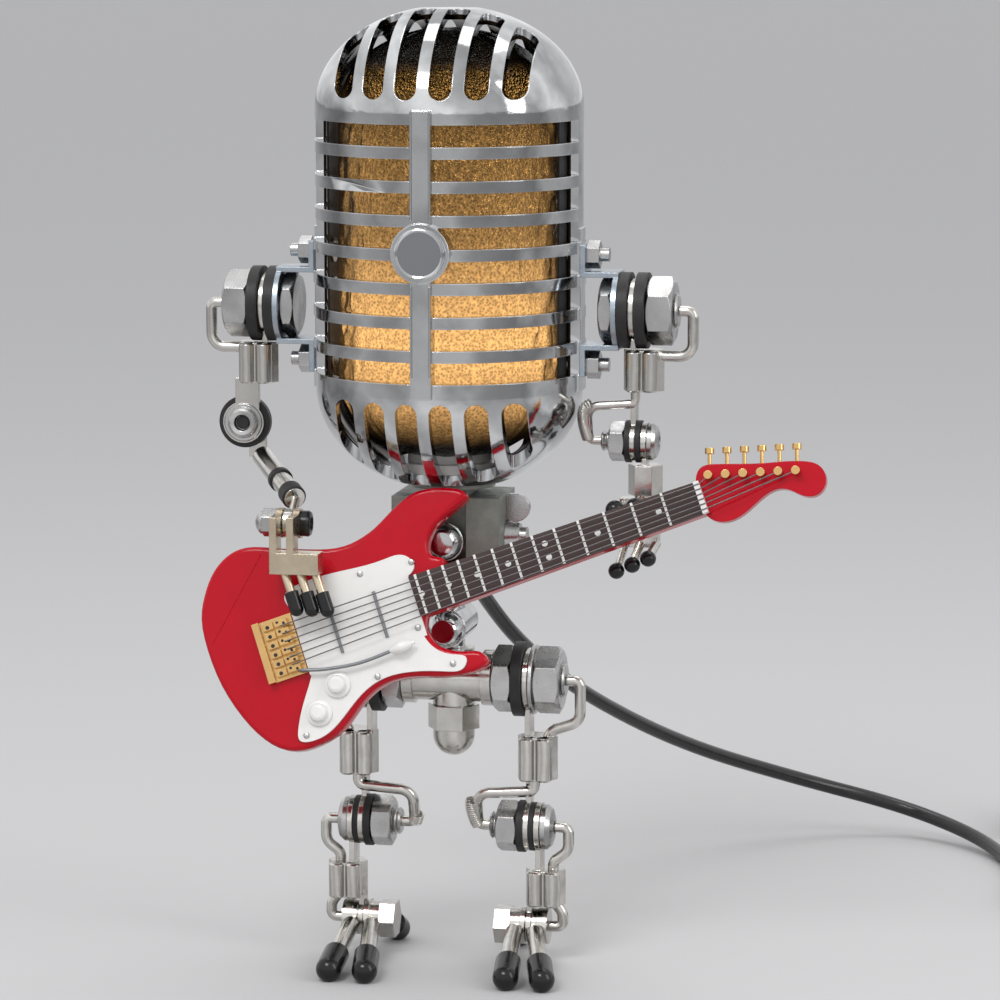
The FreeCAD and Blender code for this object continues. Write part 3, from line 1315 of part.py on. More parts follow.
def switch_and_plug(switch_low, plug_start):
    case = block("switch_long", "switch_wide", "switch_tall",
                 switch_low - V(0, S.switch_wide / 2, S.switch_tall / 2))
    middle = switch_low + V(S.switch_long / 2, 0, S.switch_tall / 2)
    pocket = block("rocker_long + 0.8", "rocker_wide + 0.6", "rocker_tall + 0.6",
                   middle - V(S.rocker_long / 2 + 0.4, S.rocker_wide / 2 + 0.3, S.rocker_tall + 0.6))
    node("switch_housing", cut(case, pocket))
    rocker = block("rocker_long", "rocker_wide", "rocker_tall",
                   middle - V(S.rocker_long / 2, S.rocker_wide / 2, S.rocker_tall - 1.0))
    node("switch_rocker", rocker)
    body = block("plug_across", "plug_long", "plug_thick",
                 plug_start - V(S.plug_across / 2, 0, S.plug_thick / 2))
    pins = [rod("pin_across", "pin_long", plug_start + V(side * S.pin_spacing / 2, S.plug_long, 0), Y)
            for side in (LEFT, RIGHT)]
    node("plug", fuse(body, *pins))


def main():
    head()
    shoulders()
    right_arm()
    left_arm()
    torso()
    for side in (LEFT, RIGHT):
        thigh(side)
        shin(side)
        foot(side)
    guitar()
    cord()
    write_steps()


def write_steps():
    doc.recompute()
    for item in doc.Objects:
        bad = [word for word in ("Invalid", "Error") if word in item.State]
        assert not bad, f"{item.Name} ({item.Label}) is {bad}"
    os.makedirs("parts", exist_ok=True)
    for item in PART_NODES:
        shape = item.Shape
        assert not shape.isNull() and shape.isValid() and shape.Solids, f"{item.Label} has no valid solid"
    for item in PART_NODES:
        item.Shape.exportStep(f"parts/{item.Label}.step")
    print(len(PART_NODES), "nodes")


main()
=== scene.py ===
"""Looks of the robot shaped desk lamp: its finishes, its hardware, its guitar, its cord, and the studio."""
import math

import bmesh
import bpy
from bpy.props import FloatProperty, FloatVectorProperty
from mathutils import Matrix, Vector, noise


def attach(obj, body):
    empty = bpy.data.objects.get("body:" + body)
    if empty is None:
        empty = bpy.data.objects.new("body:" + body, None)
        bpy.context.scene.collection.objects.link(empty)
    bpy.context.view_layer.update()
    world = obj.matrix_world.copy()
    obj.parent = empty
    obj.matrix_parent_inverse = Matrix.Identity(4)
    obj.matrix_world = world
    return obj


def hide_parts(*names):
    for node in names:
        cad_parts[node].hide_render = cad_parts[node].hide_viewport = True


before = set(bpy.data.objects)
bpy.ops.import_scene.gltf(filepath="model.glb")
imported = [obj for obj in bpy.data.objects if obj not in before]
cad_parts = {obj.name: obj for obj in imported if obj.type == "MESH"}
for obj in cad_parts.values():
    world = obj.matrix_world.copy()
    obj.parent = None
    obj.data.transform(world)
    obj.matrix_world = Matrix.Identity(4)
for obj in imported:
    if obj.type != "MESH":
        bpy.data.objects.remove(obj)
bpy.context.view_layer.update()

bl_info = {
    "name": "Robot desk lamp",
    "version": (1, 0, 0),
    "blender": (4, 5, 0),
    "location": "3D View > Sidebar > Robot lamp",
    "description": "Builds the finishes, hardware and cord of a robot shaped desk lamp around its frame",
    "category": "Object",
}

# Place of the robot's own axis in the frame, in millimetres
AXIS_X = -19.34
AXIS_Y = 1.67
# How the guitar leans back and turns in its own plane, in degrees
GUITAR_LEAN = 74.0
GUITAR_TURN = 20.8
# Ends of the head's straight wall
STRAIGHT_BOTTOM = 167.3
STRAIGHT_TOP = 246.0
# The robot's own sides, as signs along x
LEFT = 1
RIGHT = -1
SIDE_NAMES = {LEFT: "left", RIGHT: "right"}
X = Vector((1, 0, 0))
Y = Vector((0, 1, 0))
Z = Vector((0, 0, 1))


# Settings


def size(name, value):
    return FloatProperty(name=name, default=value, min=0.0, precision=2)


def colour(name, value):
    return FloatVectorProperty(name=name, default=value, subtype="COLOR", size=3, min=0.0, max=1.0)


class LampSizes(bpy.types.PropertyGroup):
    """Sizes in millimetres."""

    head_across: size("Head across", 76.0)
    straight_bottom: size("Bottom of the straight wall", STRAIGHT_BOTTOM)
    straight_top: size("Top of the straight wall", STRAIGHT_TOP)
    foil_across: size("Foil across", 63.0)
    foil_crinkle: size("Depth of the foil's crinkles", 0.9)
    badge_across: size("Badge across", 12.6)
    badge_height: size("Height of the badge", 208.0)
    shoulder_height: size("Height of the shoulder bolts", 189.5)
    hip_height: size("Height of the hip axle", 82.8)
    knee_height: size("Height of the knee bolts", 39.7)
    elbow_height: size("Height of the left elbow bolt", 152.3)
    axle_across: size("Shoulder and hip thread", 10.0)
    axle_flats: size("Shoulder and hip nut over flats", 17.0)
    knee_across: size("Knee thread", 8.0)
    knee_flats: size("Knee nut over flats", 13.0)
    small_across: size("Elbow thread", 6.0)
    small_flats: size("Elbow nut over flats", 10.0)
    wrap_wire: size("Wire wound on the bent rods", 0.6)
    guitar_thick: size("Thickness of the guitar's body", 7.0)
    guitar_edge: size("Rounding of the guitar's body", 1.3)
    guard_thick: size("Thickness of the pickguard", 0.8)
    cord_across: size("Cord across", 4.4)


class LampColours(bpy.types.PropertyGroup):
    """Base colours, linear."""

    chrome: colour("Chrome", (0.78, 0.79, 0.80))
    zinc: colour("Zinc plate", (0.62, 0.62, 0.62))
    blue_zinc: colour("Blue zinc plate", (0.46, 0.54, 0.62))
    nickel: colour("Tinned terminals", (0.75, 0.73, 0.69))
    stain: colour("Stain on metal", (0.22, 0.17, 0.12))
    casting: colour("Grey casting", (0.25, 0.27, 0.24))
    badge: colour("Badge", (0.22, 0.23, 0.24))
    foil: colour("Foil", (0.62, 0.33, 0.08))
    glow: colour("Lamp light", (1.0, 0.55, 0.20))
    rubber: colour("Rubber", (0.012, 0.012, 0.013))
    dip: colour("Dipped caps", (0.008, 0.008, 0.009))
    lacquer: colour("Guitar lacquer", (0.44, 0.0, 0.010))
    white: colour("White plastic", (0.74, 0.73, 0.71))
    wood: colour("Fretboard", (0.045, 0.018, 0.016))
    gold: colour("Gold plate", (0.72, 0.46, 0.19))
    brass: colour("Brass pins", (0.66, 0.56, 0.42))
    cord: colour("Cord", (0.010, 0.010, 0.011))
    floor: colour("Floor", (0.47, 0.47, 0.475))


def sizes():
    return bpy.context.scene.lamp_sizes


def colours():
    return bpy.context.scene.lamp_colours


# Shader groups: they give out only masks, colours and normals

FLOAT = "NodeSocketFloat"
VECTOR = "NodeSocketVector"
# Heights between which the foil's painted glow and painted shade run, in metres, and their levels from the
# lowest to the highest
FOIL_LOW = 0.140
FOIL_HIGH = 0.270
PAINTED_GLOW_LEVELS = ((0.0, 0.0), (0.09, 0.0), (0.14, 0.20), (0.19, 0.60), (0.30, 1.0), (0.42, 0.72), (0.55, 0.26),
               (0.78, 0.12), (0.88, 0.0), (1.0, 0.0))
FOIL_PAINTED_SHADE_LEVELS = ((0.0, 0.01), (0.08, 0.02), (0.19, 0.8), (0.85, 1.0), (0.92, 0.03), (1.0, 0.01))
# Tones of the painted reflections across a polished form: light and dark bands that stand in for the studio
# mirrored in it
PAINTED_REFLECTION_TONES = ((0.0, 0.30), (0.16, 0.62), (0.24, 0.20), (0.34, 0.80), (0.43, 0.50), (0.52, 0.92), (0.58, 1.0),
              (0.64, 0.55), (0.74, 0.30), (0.80, 0.85), (0.88, 0.35), (1.0, 0.75))
# The room inside the head's shell, in metres, and the dark colour painted there as shade
HOLLOW_RADIUS = 0.0350
HOLLOW_DOME = 0.0262
HOLLOW_REACH = 0.03575
HOLLOW_PAINTED_SHADE = (0.02, 0.012, 0.007, 1)


def feed(tree, item, values):
    """Links a node's sockets, or sets them."""
    for name, value in values.items():
        if isinstance(value, bpy.types.NodeSocket):
            tree.links.new(value, item.inputs[name])
        else:
            item.inputs[name].default_value = value


def put(tree, kind, values=(), **settings):
    """A new node, with its sockets linked or set."""
    item = tree.nodes.new(kind)
    for name, value in settings.items():
        setattr(item, name, value)
    feed(tree, item, dict(values))
    return item


def maths(tree, operation, *values):
    return put(tree, "ShaderNodeMath", enumerate(values), operation=operation).outputs["Value"]


def mapped(tree, value, low, high, to_low=0.0, to_high=1.0):
    """A value taken from one range to another and held at its ends."""
    values = {"Value": value, "From Min": low, "From Max": high, "To Min": to_low, "To Max": to_high}
    return put(tree, "ShaderNodeMapRange", values).outputs["Result"]


def mixed(tree, share, first, second, blend="MIX"):
    """The colour that a mix of two gives."""
    values = {"Factor": share, "A": first, "B": second}
    item = put(tree, "ShaderNodeMix", values, data_type="RGBA", blend_type=blend)
    return next(socket for socket in item.outputs if socket.type == "RGBA")


def ramped(tree, value, stops):
    """Grey levels along a ramp."""
    item = put(tree, "ShaderNodeValToRGB", {"Fac": value})
    ramp = item.color_ramp
    for _ in stops[2:]:
        ramp.elements.new(0.5)
    for element, (reach, level) in zip(ramp.elements, stops):
        element.position = reach
        element.color = (level, level, level, 1)
    return item.outputs["Color"]


def grouped(tree, group, values=()):
    return put(tree, "ShaderNodeGroup", values, node_tree=group).outputs


def spot_of(tree):
    return put(tree, "ShaderNodeTexCoord").outputs["Object"]


def parts_of(tree, vector):
    return put(tree, "ShaderNodeSeparateXYZ", {"Vector": vector}).outputs


def shader_group(name, inputs, outputs, build):
    """A node group, made once. build gives a socket for each output, in order."""
    if name in bpy.data.node_groups:
        return bpy.data.node_groups[name]
    tree = bpy.data.node_groups.new(name, "ShaderNodeTree")
    for label, value in inputs.items():
        tree.interface.new_socket(label, in_out="INPUT", socket_type=FLOAT).default_value = value
    for label, kind in outputs.items():
        tree.interface.new_socket(label, in_out="OUTPUT", socket_type=kind)
    given = tree.nodes.new("NodeGroupInput").outputs
    out = tree.nodes.new("NodeGroupOutput")
    for label, socket in zip(outputs, build(tree, given)):
        tree.links.new(socket, out.inputs[label])
    return tree


def surface_group():
    """Rounded edges, fine grain and slow patches for any finish."""
    def build(tree, given):
        where = spot_of(tree)
        edge = put(tree, "ShaderNodeBevel", {"Radius": given["Rounding"]}, samples=4)
        grain = put(tree, "ShaderNodeTexNoise", {"Vector": where, "Scale": given["Grain scale"],
                                                 "Detail": 4.0})
        bump = put(tree, "ShaderNodeBump", {"Strength": given["Grain"], "Distance": 0.0002,
                                            "Height": grain.outputs["Fac"], "Normal": edge.outputs["Normal"]})
        patches = put(tree, "ShaderNodeTexNoise", {"Vector": where, "Scale": given["Patch scale"],
                                                   "Detail": 6.0, "Roughness": 0.65})
        return bump.outputs["Normal"], mapped(tree, patches.outputs["Fac"], 0.35, 0.65)

    inputs = {"Rounding": 0.0004, "Grain scale": 2500.0, "Grain": 0.1, "Patch scale": 180.0}
    return shader_group("Rounded grain", inputs, {"Normal": VECTOR, "Patches": FLOAT}, build)


def foil_group():
    """Sharp crinkles at two sizes, the painted glow that stands in for the lamp's light on the foil at each
    height, and the painted shade that darkens its top and bottom.
    """
    def build(tree, given):
        where = spot_of(tree)
        broad = put(tree, "ShaderNodeTexVoronoi", {"Vector": where, "Scale": 420.0}, feature="F1")
        fine = put(tree, "ShaderNodeTexVoronoi", {"Vector": where, "Scale": 1300.0}, feature="F1")
        both = maths(tree, "ADD", broad.outputs["Distance"], fine.outputs["Distance"])
        bump = put(tree, "ShaderNodeBump", {"Strength": 0.9, "Distance": 0.0012, "Height": both})
        share = mapped(tree, parts_of(tree, where)["Z"], FOIL_LOW, FOIL_HIGH)
        return (bump.outputs["Normal"], mapped(tree, fine.outputs["Distance"], 0.1, 0.75),
                ramped(tree, share, PAINTED_GLOW_LEVELS), ramped(tree, share, FOIL_PAINTED_SHADE_LEVELS))

    outputs = {"Normal": VECTOR, "Facets": FLOAT, "Glow": FLOAT, "Gold": FLOAT}
    return shader_group("Crinkled glow", {}, outputs, build)


def painted_reflection_group():
    """Painted reflections: light and dark bands over a polished form, by the way each spot faces, with a slow
    waver.
    """
    def build(tree, given):
        waver = put(tree, "ShaderNodeTexNoise", {"Vector": spot_of(tree), "Scale": 70.0, "Detail": 3.0})
        way = parts_of(tree, put(tree, "ShaderNodeNewGeometry").outputs["Normal"])
        across = maths(tree, "MULTIPLY_ADD", way["X"], 0.34, 0.36)
        up = maths(tree, "MULTIPLY_ADD", way["Z"], 0.20, across)
        reach = maths(tree, "MULTIPLY_ADD", waver.outputs["Fac"], 0.28, up)
        return [ramped(tree, reach, PAINTED_REFLECTION_TONES)]

    return shader_group("Polished bands", {}, {"Tone": FLOAT}, build)


def hollow_shade_group():
    """One inside the head's shell, nothing outside it: where shade is painted on the shell's inner faces."""
    def build(tree, given):
        parts = parts_of(tree, spot_of(tree))
        x = maths(tree, "ADD", parts["X"], -AXIS_X / 1000)
        y = maths(tree, "ADD", parts["Y"], -AXIS_Y / 1000)
        over = maths(tree, "SUBTRACT", parts["Z"], STRAIGHT_TOP / 1000)
        under = maths(tree, "SUBTRACT", STRAIGHT_BOTTOM / 1000, parts["Z"])
        beyond = maths(tree, "MAXIMUM", maths(tree, "MAXIMUM", over, under), 0.0)
        tall = maths(tree, "MULTIPLY", beyond, HOLLOW_RADIUS / HOLLOW_DOME)
        spot = put(tree, "ShaderNodeCombineXYZ", {"X": x, "Y": y, "Z": tall})
        reach = put(tree, "ShaderNodeVectorMath", {0: spot.outputs["Vector"]}, operation="LENGTH")
        return [maths(tree, "LESS_THAN", reach.outputs["Value"], HOLLOW_REACH)]

    return shader_group("Head hollow", {}, {"Inside": FLOAT}, build)


def wood_group():
    """Long dark pores that run with the neck."""
    def build(tree, given):
        turn = put(tree, "ShaderNodeMapping", {"Vector": spot_of(tree), "Scale": (120.0, 1800.0, 1800.0),
                                               "Rotation": (0, math.radians(GUITAR_TURN), 0)})
        pores = put(tree, "ShaderNodeTexNoise", {"Vector": turn.outputs["Vector"], "Scale": 1.0,
                                                 "Detail": 5.0})
        return [pores.outputs["Fac"]]

    return shader_group("Wood grain", {}, {"Pores": FLOAT}, build)


# Finishes

FINISH = "_finish"


def finish(name, base, other, metal=0.0, rough=(0.2, 0.4), grain=0.1, grain_scale=2500.0, patch_scale=180.0,
           patches=0.3, rounding=0.0004, specular=0.5, bands=0.0, hollow=False, pores=False):
    """A finish whose colour and roughness wander between two values over its grain.

    bands is how strongly the painted reflection bands show, hollow paints shade on the inside of the head, and
    pores puts wood grain in place of the patches.
    """
    if name + FINISH in bpy.data.materials:
        return bpy.data.materials[name + FINISH]
    item = bpy.data.materials.new(name + FINISH)
    item.use_nodes = True
    tree = item.node_tree
    surface = grouped(tree, surface_group(), {"Rounding": rounding, "Grain scale": grain_scale, "Grain": grain,
                                              "Patch scale": patch_scale})
    if pores:
        share = grouped(tree, wood_group())["Pores"]
    else:
        share = maths(tree, "MULTIPLY", surface["Patches"], patches)
    tone = mixed(tree, share, (*base, 1), (*other, 1))
    # Painted reflections: the colour is multiplied by light and dark bands that stand in for the studio
    # mirrored in the metal
    if bands:
        tone = mixed(tree, bands, tone, grouped(tree, painted_reflection_group())["Tone"], "MULTIPLY")
    # Painted shade: the shell's inner faces are coloured dark
    if hollow:
        tone = mixed(tree, grouped(tree, hollow_shade_group())["Inside"], tone, HOLLOW_PAINTED_SHADE)
    feed(tree, tree.nodes["Principled BSDF"], {
        "Base Color": tone, "Roughness": mapped(tree, surface["Patches"], 0.0, 1.0, *rough),
        "Normal": surface["Normal"], "Metallic": metal, "Specular IOR Level": specular,
    })
    return item


def own(name, share=1.0):
    """One of the user's colours, or a darker one."""
    return tuple(part * share for part in getattr(colours(), name))


def chrome():
    return finish("chrome", own("chrome"), own("chrome", 0.8), metal=1.0, rough=(0.05, 0.12), grain=0.02,
                  patches=0.5, bands=0.85, hollow=True)


def zinc():
    return finish("zinc_steel", own("zinc"), own("stain"), metal=1.0, rough=(0.18, 0.34), grain=0.06,
                  patches=0.18, bands=0.7)


def blue_zinc():
    return finish("blue_zinc", own("blue_zinc"), own("zinc", 0.8), metal=1.0, rough=(0.22, 0.40), grain=0.05,
                  patches=0.5, bands=0.6)


def nickel():
    return finish("nickel", own("nickel"), own("stain"), metal=1.0, rough=(0.12, 0.26), grain=0.05,
                  patches=0.18, patch_scale=260.0, bands=0.6)


def casting():
    return finish("cast_grey", own("casting"), own("casting", 0.6), metal=0.6, rough=(0.38, 0.55), grain=0.35,
                  patches=0.5)


def badge_grey():
    return finish("badge_grey", own("badge"), own("badge", 0.75), metal=0.7, rough=(0.3, 0.45))


def string_steel():
    return finish("string_steel", (0.16, 0.15, 0.15), (0.08, 0.07, 0.07), metal=1.0, rough=(0.3, 0.4),
                  rounding=0.0)


def rubber():
    return finish("black_rubber", own("rubber"), (0.035, 0.034, 0.032), rough=(0.42, 0.60), grain=0.3,
                  patches=0.5, specular=0.35)


def dip():
    return finish("dip_cap", own("dip"), (0.012, 0.012, 0.012), rough=(0.10, 0.20), grain=0.05, specular=0.35)


def white():
    return finish("white_plastic", own("white"), own("white", 0.86), rough=(0.16, 0.26), grain=0.03,
                  rounding=0.0002)


def lacquer():
    return finish("red_gloss", own("lacquer"), own("lacquer", 0.8), rough=(0.10, 0.16), grain=0.03,
                  grain_scale=900.0, specular=0.25)


def gold():
    return finish("gold_plate", own("gold"), own("gold", 0.6), metal=1.0, rough=(0.14, 0.26), grain=0.06,
                  patches=0.4, rounding=0.0002)


def brass():
    return finish("brass_pins", own("brass"), own("stain"), metal=1.0, rough=(0.2, 0.32), grain=0.06)


def pvc():
    return finish("black_pvc", own("cord"), (0.022, 0.022, 0.022), rough=(0.20, 0.30), grain=0.05, patches=0.4,
                  rounding=0.0)


def moulded():
    return finish("black_plastic", own("cord"), (0.025, 0.025, 0.026), rough=(0.30, 0.42), grain=0.25,
                  patches=0.4, rounding=0.0012)


def wood():
    return finish("dark_wood", own("wood"), own("wood", 0.5), rough=(0.35, 0.5), grain=0.15, rounding=0.0002,
                  pores=True)


def foil():
    name = "gold_foil" + FINISH
    if name in bpy.data.materials:
        return bpy.data.materials[name]
    item = bpy.data.materials.new(name)
    item.use_nodes = True
    tree = item.node_tree
    crinkle = grouped(tree, foil_group())
    # Painted light and shade on the crinkles: the facets lighten and darken the foil's colour
    tint = mixed(tree, crinkle["Facets"], (*own("foil", 0.35), 1), (*own("foil"), 1))
    # Painted glow that stands in for the lamp's light on the foil, brighter on some facets as painted glints
    light = maths(tree, "MULTIPLY_ADD", crinkle["Facets"], 0.75, 0.45)
    power = maths(tree, "MULTIPLY", light, crinkle["Glow"])
    # Painted shade towards the foil's sides: glow and colour fade where the foil turns away
    grazing_for_painted_shade = put(tree, "ShaderNodeLayerWeight", {"Blend": 0.5}).outputs["Facing"]
    ahead = mapped(tree, grazing_for_painted_shade, 0.38, 0.70, 1.0, 0.08)
    # Painted shade: darker towards the foil's top and bottom, and towards its sides
    depth = maths(tree, "MULTIPLY", crinkle["Gold"], ahead)
    feed(tree, tree.nodes["Principled BSDF"], {
        "Base Color": mixed(tree, 1.0, tint, depth, "MULTIPLY"), "Normal": crinkle["Normal"],
        "Emission Strength": maths(tree, "MULTIPLY", power, ahead), "Emission Color": (*own("glow"), 1),
        "Metallic": 1.0, "Roughness": 0.22,
    })
    return item


def opal():
    item = finish("bulb_glass", (0.9, 0.86, 0.78), (0.8, 0.74, 0.62), rough=(0.2, 0.3), grain=0.02,
                  rounding=0.0)
    feed(item.node_tree, item.node_tree.nodes["Principled BSDF"], {
        "Emission Color": (*own("glow"), 1), "Emission Strength": 2.5,
    })
    return item


# Shapes, in millimetres from the robot's own axis


def place(x, y, z):
    return Vector(((x + AXIS_X) / 1000, (y + AXIS_Y) / 1000, z / 1000))


def facing(along):
    return Vector(along).to_track_quat("Z", "Y").to_matrix()


def skin(bm, rings, closed=False, caps=False):
    """Faces between rings of equal length, each ring a closed loop, and over both ends."""
    pairs = list(zip(rings, rings[1:]))
    if closed:
        pairs.append((rings[-1], rings[0]))
    for low, high in pairs:
        for a in range(len(low)):
            b = (a + 1) % len(low)
            bm.faces.new((low[a], low[b], high[b], high[a]))
    if caps:
        bm.faces.new(list(reversed(rings[0])))
        bm.faces.new(rings[-1])


def turned(bm, profile, start, along, count=48, caps=True):
    """A turned piece: profile gives (distance along, radius) pairs."""
    turn = facing(along)
    origin = place(*start)
    rings = []
    for reach, radius in profile:
        ring = []
        for step in range(count):
            angle = 2 * math.pi * step / count
            spot = Vector((radius * math.cos(angle), radius * math.sin(angle), reach)) / 1000
            ring.append(bm.verts.new(origin + turn @ spot))
        rings.append(ring)
    skin(bm, rings, caps=caps)


def threaded(bm, across, length, start, along, pitch):
    """A bolt's thread as close-set rounded ridges, with a chamfered end."""
    root = across / 2 - 0.45 * pitch
    profile = [(0.0, root)]
    reach = 0.0
    while reach < length - 1.5 * pitch:
        profile += [(reach + 0.3 * pitch, across / 2), (reach + 0.5 * pitch, across / 2),
                    (reach + pitch, root)]
        reach += pitch
    profile += [(length - 0.5 * pitch, across / 2), (length, root)]
    turned(bm, profile, start, along)


def hexagonal(bm, flats, length, start, along, hole=0.0, spin=0.0, count=72):
    """A nut or bolt head with its corners turned off to a chamfer at both ends."""
    turn = facing(along) @ Matrix.Rotation(math.radians(spin), 3, "Z")
    origin = place(*start)
    face_radius = flats / 2 * 0.955

    def ring(radius_at, reach_at):
        made = []
        for step in range(count):
            angle = 2 * math.pi * step / count
            radius = radius_at(angle)
            spot = Vector((radius * math.cos(angle), radius * math.sin(angle), reach_at(radius))) / 1000
            made.append(bm.verts.new(origin + turn @ spot))
        return made

    def edge(angle):
        part = math.fmod(angle, math.pi / 3) - math.pi / 6
        return flats / 2 / math.cos(part)

    def drop(radius):
        return (radius - face_radius) * math.tan(math.radians(30))

    rings = [
        ring(lambda a: face_radius, lambda r: 0.0), ring(edge, drop), ring(edge, lambda r: length - drop(r)),
        ring(lambda a: face_radius, lambda r: length),
    ]
    if hole:
        rings.append(ring(lambda a: hole / 2 + 0.4, lambda r: length))
        rings.append(ring(lambda a: hole / 2, lambda r: length - 0.4))
        rings.append(ring(lambda a: hole / 2, lambda r: 0.4))
        rings.append(ring(lambda a: hole / 2 + 0.4, lambda r: 0.0))
    skin(bm, rings, closed=bool(hole), caps=not hole)


def smooth_by_angle(mesh, degrees=28):
    mesh.shade_smooth()
    mesh.set_sharp_from_angle(angle=math.radians(degrees))


def finish_piece(name, bm, material, body, *nodes):
    """Keeps a mesh as a piece of one material."""
    bmesh.ops.recalc_face_normals(bm, faces=bm.faces)
    mesh = bpy.data.meshes.new(name)
    bm.to_mesh(mesh)
    bm.free()
    if not mesh.polygons:
        raise RuntimeError(f"{name} has no faces")
    smooth_by_angle(mesh)
    mesh.materials.append(material)
    keep(name, mesh, body, nodes)


def keep(name, data, body, nodes=()):
    """A piece in the scene that rides on a body and may stand for CAD nodes."""
    item = bpy.data.objects.new(name, data)
    bpy.context.collection.objects.link(item)
    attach(item, body)
    if nodes:
        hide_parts(*nodes)
    return item


def dress(material, *nodes):
    """Gives frame pieces their finish."""
    for name in nodes:
        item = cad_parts.get(name)
        if item is None:
            raise RuntimeError(f"the frame has no piece {name}")
        item.data.materials.clear()
        item.data.materials.append(material)


def smooth_line(points, steps=8, closed=False):
    """Points on a smooth line through the given ones."""
    count = len(points)
    found = []
    for i in range(count if closed else count - 1):
        a, b, c, d = (points[(i + k) % count] if closed else points[min(max(i + k, 0), count - 1)]
                      for k in (-1, 0, 1, 2))
        for step in range(steps):
            t = step / steps
            found.append(0.5 * (2 * b + (c - a) * t + (2 * a - 5 * b + 4 * c - d) * t * t
                                + (3 * b - a - 3 * c + d) * t ** 3))
    if not closed:
        found.append(points[-1])
    return found


def wire(name, points, across, material, body, *nodes):
    """A round wire through points, in millimetres from the robot's axis."""
    curve, spline = round_line(name, points, across, material, "POLY")
    curve.bevel_resolution = 5
    spline.use_smooth = True
    keep(name, curve, body, nodes)


def round_line(name, points, across, material, kind):
    """A round curve. Its thickness is each point's radius, because the box round a curve reads that."""
    curve = bpy.data.curves.new(name, "CURVE")
    curve.dimensions = "3D"
    curve.bevel_depth = 1.0
    curve.use_fill_caps = True
    curve.materials.append(material)
    spline = curve.splines.new(kind)
    spline.points.add(len(points) - 1)
    for target, point in zip(spline.points, points):
        target.co = (*place(*point), 1)
        target.radius = across / 2000
    return curve, spline


def winding(points, rod_across, wire_across, start=0.0, end=1.0):
    """A close helix of wire round part of a bent rod's line."""
    line = smooth_line([Vector(p) for p in points], 12)
    lengths = [0.0]
    for a, b in zip(line, line[1:]):
        lengths.append(lengths[-1] + (b - a).length)
    low, high = start * lengths[-1], end * lengths[-1]
    turns = int((high - low) / (wire_across * 1.04))
    radius = (rod_across + wire_across) / 2
    side = None
    found = []
    index = 0
    for step in range(turns * 12 + 1):
        reach = low + (high - low) * step / (turns * 12)
        while index < len(lengths) - 2 and lengths[index + 1] < reach:
            index += 1
        span = lengths[index + 1] - lengths[index]
        spot = line[index].lerp(line[index + 1], (reach - lengths[index]) / span)
        along = (line[index + 1] - line[index]).normalized()
        side = (side - along * side.dot(along)).normalized() if side else along.orthogonal().normalized()
        other = along.cross(side)
        angle = 2 * math.pi * step / 12
        found.append(spot + (side * math.cos(angle) + other * math.sin(angle)) * radius)
    return found


# Head


class LAMP_OT_head(bpy.types.Operator):
    """Finishes the grille head, its badge, and the crinkled foil in front of the lamp"""

    bl_idname = "robot_lamp.head"
    bl_label = "Head"

    def execute(self, context):
        s = sizes()
        dress(chrome(), "head_front_shell", "head_rear_shell")
        dress(badge_grey(), "head_badge_disc")
        dress(casting(), "neck_lug")
        dress(white(), "lamp_holder")
        dress(opal(), "led_bulb")
        build_foil(s)
        build_shade_strips(s)
        build_badge_rim(s)
        build_rib_edges(s)
        return {"FINISHED"}


def build_foil(s):
    """A foil capsule crushed by hand, just inside the grille."""
    profile = [(144.2, 12.0)]
    radius = s.foil_across / 2
    for step in range(1, 9):
        angle = math.pi / 2 * step / 8
        profile.append((s.straight_bottom + 1 - 22.0 * math.cos(angle), radius * math.sin(angle) * 0.999))
    for step in range(1, 40):
        profile.append((s.straight_bottom + 1 + (s.straight_top - s.straight_bottom - 1) * step / 39, radius))
    for step in range(1, 12):
        angle = math.pi / 2 * step / 12
        profile.append((s.straight_top + 22.5 * math.sin(angle), radius * math.cos(angle)))
    profile = [(max(z, 144.2), r) for z, r in profile]
    bm = bmesh.new()
    count = 160
    rings = []
    for height, around in profile:
        ring = []
        for step in range(count):
            angle = 2 * math.pi * step / count
            x, y = math.cos(angle), math.sin(angle)
            crush = noise.cell(Vector((x * 9, y * 9, height / 3.4)))
            crush += noise.noise(Vector((x * 14, y * 14, height / 2.2)))
            here = around - s.foil_crinkle * (0.5 + 0.5 * crush)
            ring.append(bm.verts.new(place(x * here, y * here, height)))
        rings.append(ring)
    skin(bm, rings, caps=True)
    finish_piece("foil", bm, foil(), "head", "grille_liner")


def build_shade_strips(s):
    """Dark strips beside the foil, where the grille's slots end: dark sheets that stand in for the shade seen
    through the slots.
    """
    bm = bmesh.new()
    outside = s.head_across / 2 - 3.4
    inside = outside - 0.6
    turns = [2 * step for step in range(-8, 9)]
    outline = [(outside, turn) for turn in turns] + [(inside, turn) for turn in reversed(turns)]
    for middle in (0, 180):
        rings = []
        for height in (s.straight_bottom - 4, s.straight_top + 5):
            ring = []
            for radius, turn in outline:
                angle = math.radians(middle + turn)
                ring.append(bm.verts.new(place(radius * math.cos(angle), radius * math.sin(angle), height)))
            rings.append(ring)
        skin(bm, rings)
        for ring in rings:
            for a in range(len(turns) - 1):
                b = len(ring) - 1 - a
                bm.faces.new((ring[a], ring[a + 1], ring[b - 1], ring[b]))
    finish_piece("head_baffles", bm, rubber(), "head")


def build_badge_rim(s):
    bm = bmesh.new()
    radius = s.badge_across / 2
    front = s.head_across / 2 + 2.7
    profile = [(0.0, radius + 0.1), (0.2, radius + 0.9), (0.9, radius + 0.8), (1.2, radius + 0.3),
               (0.95, radius - 0.3)]
    turned(bm, profile, (0, -front, s.badge_height), -Y, 64, caps=False)
    finish_piece("badge_rim", bm, chrome(), "head")


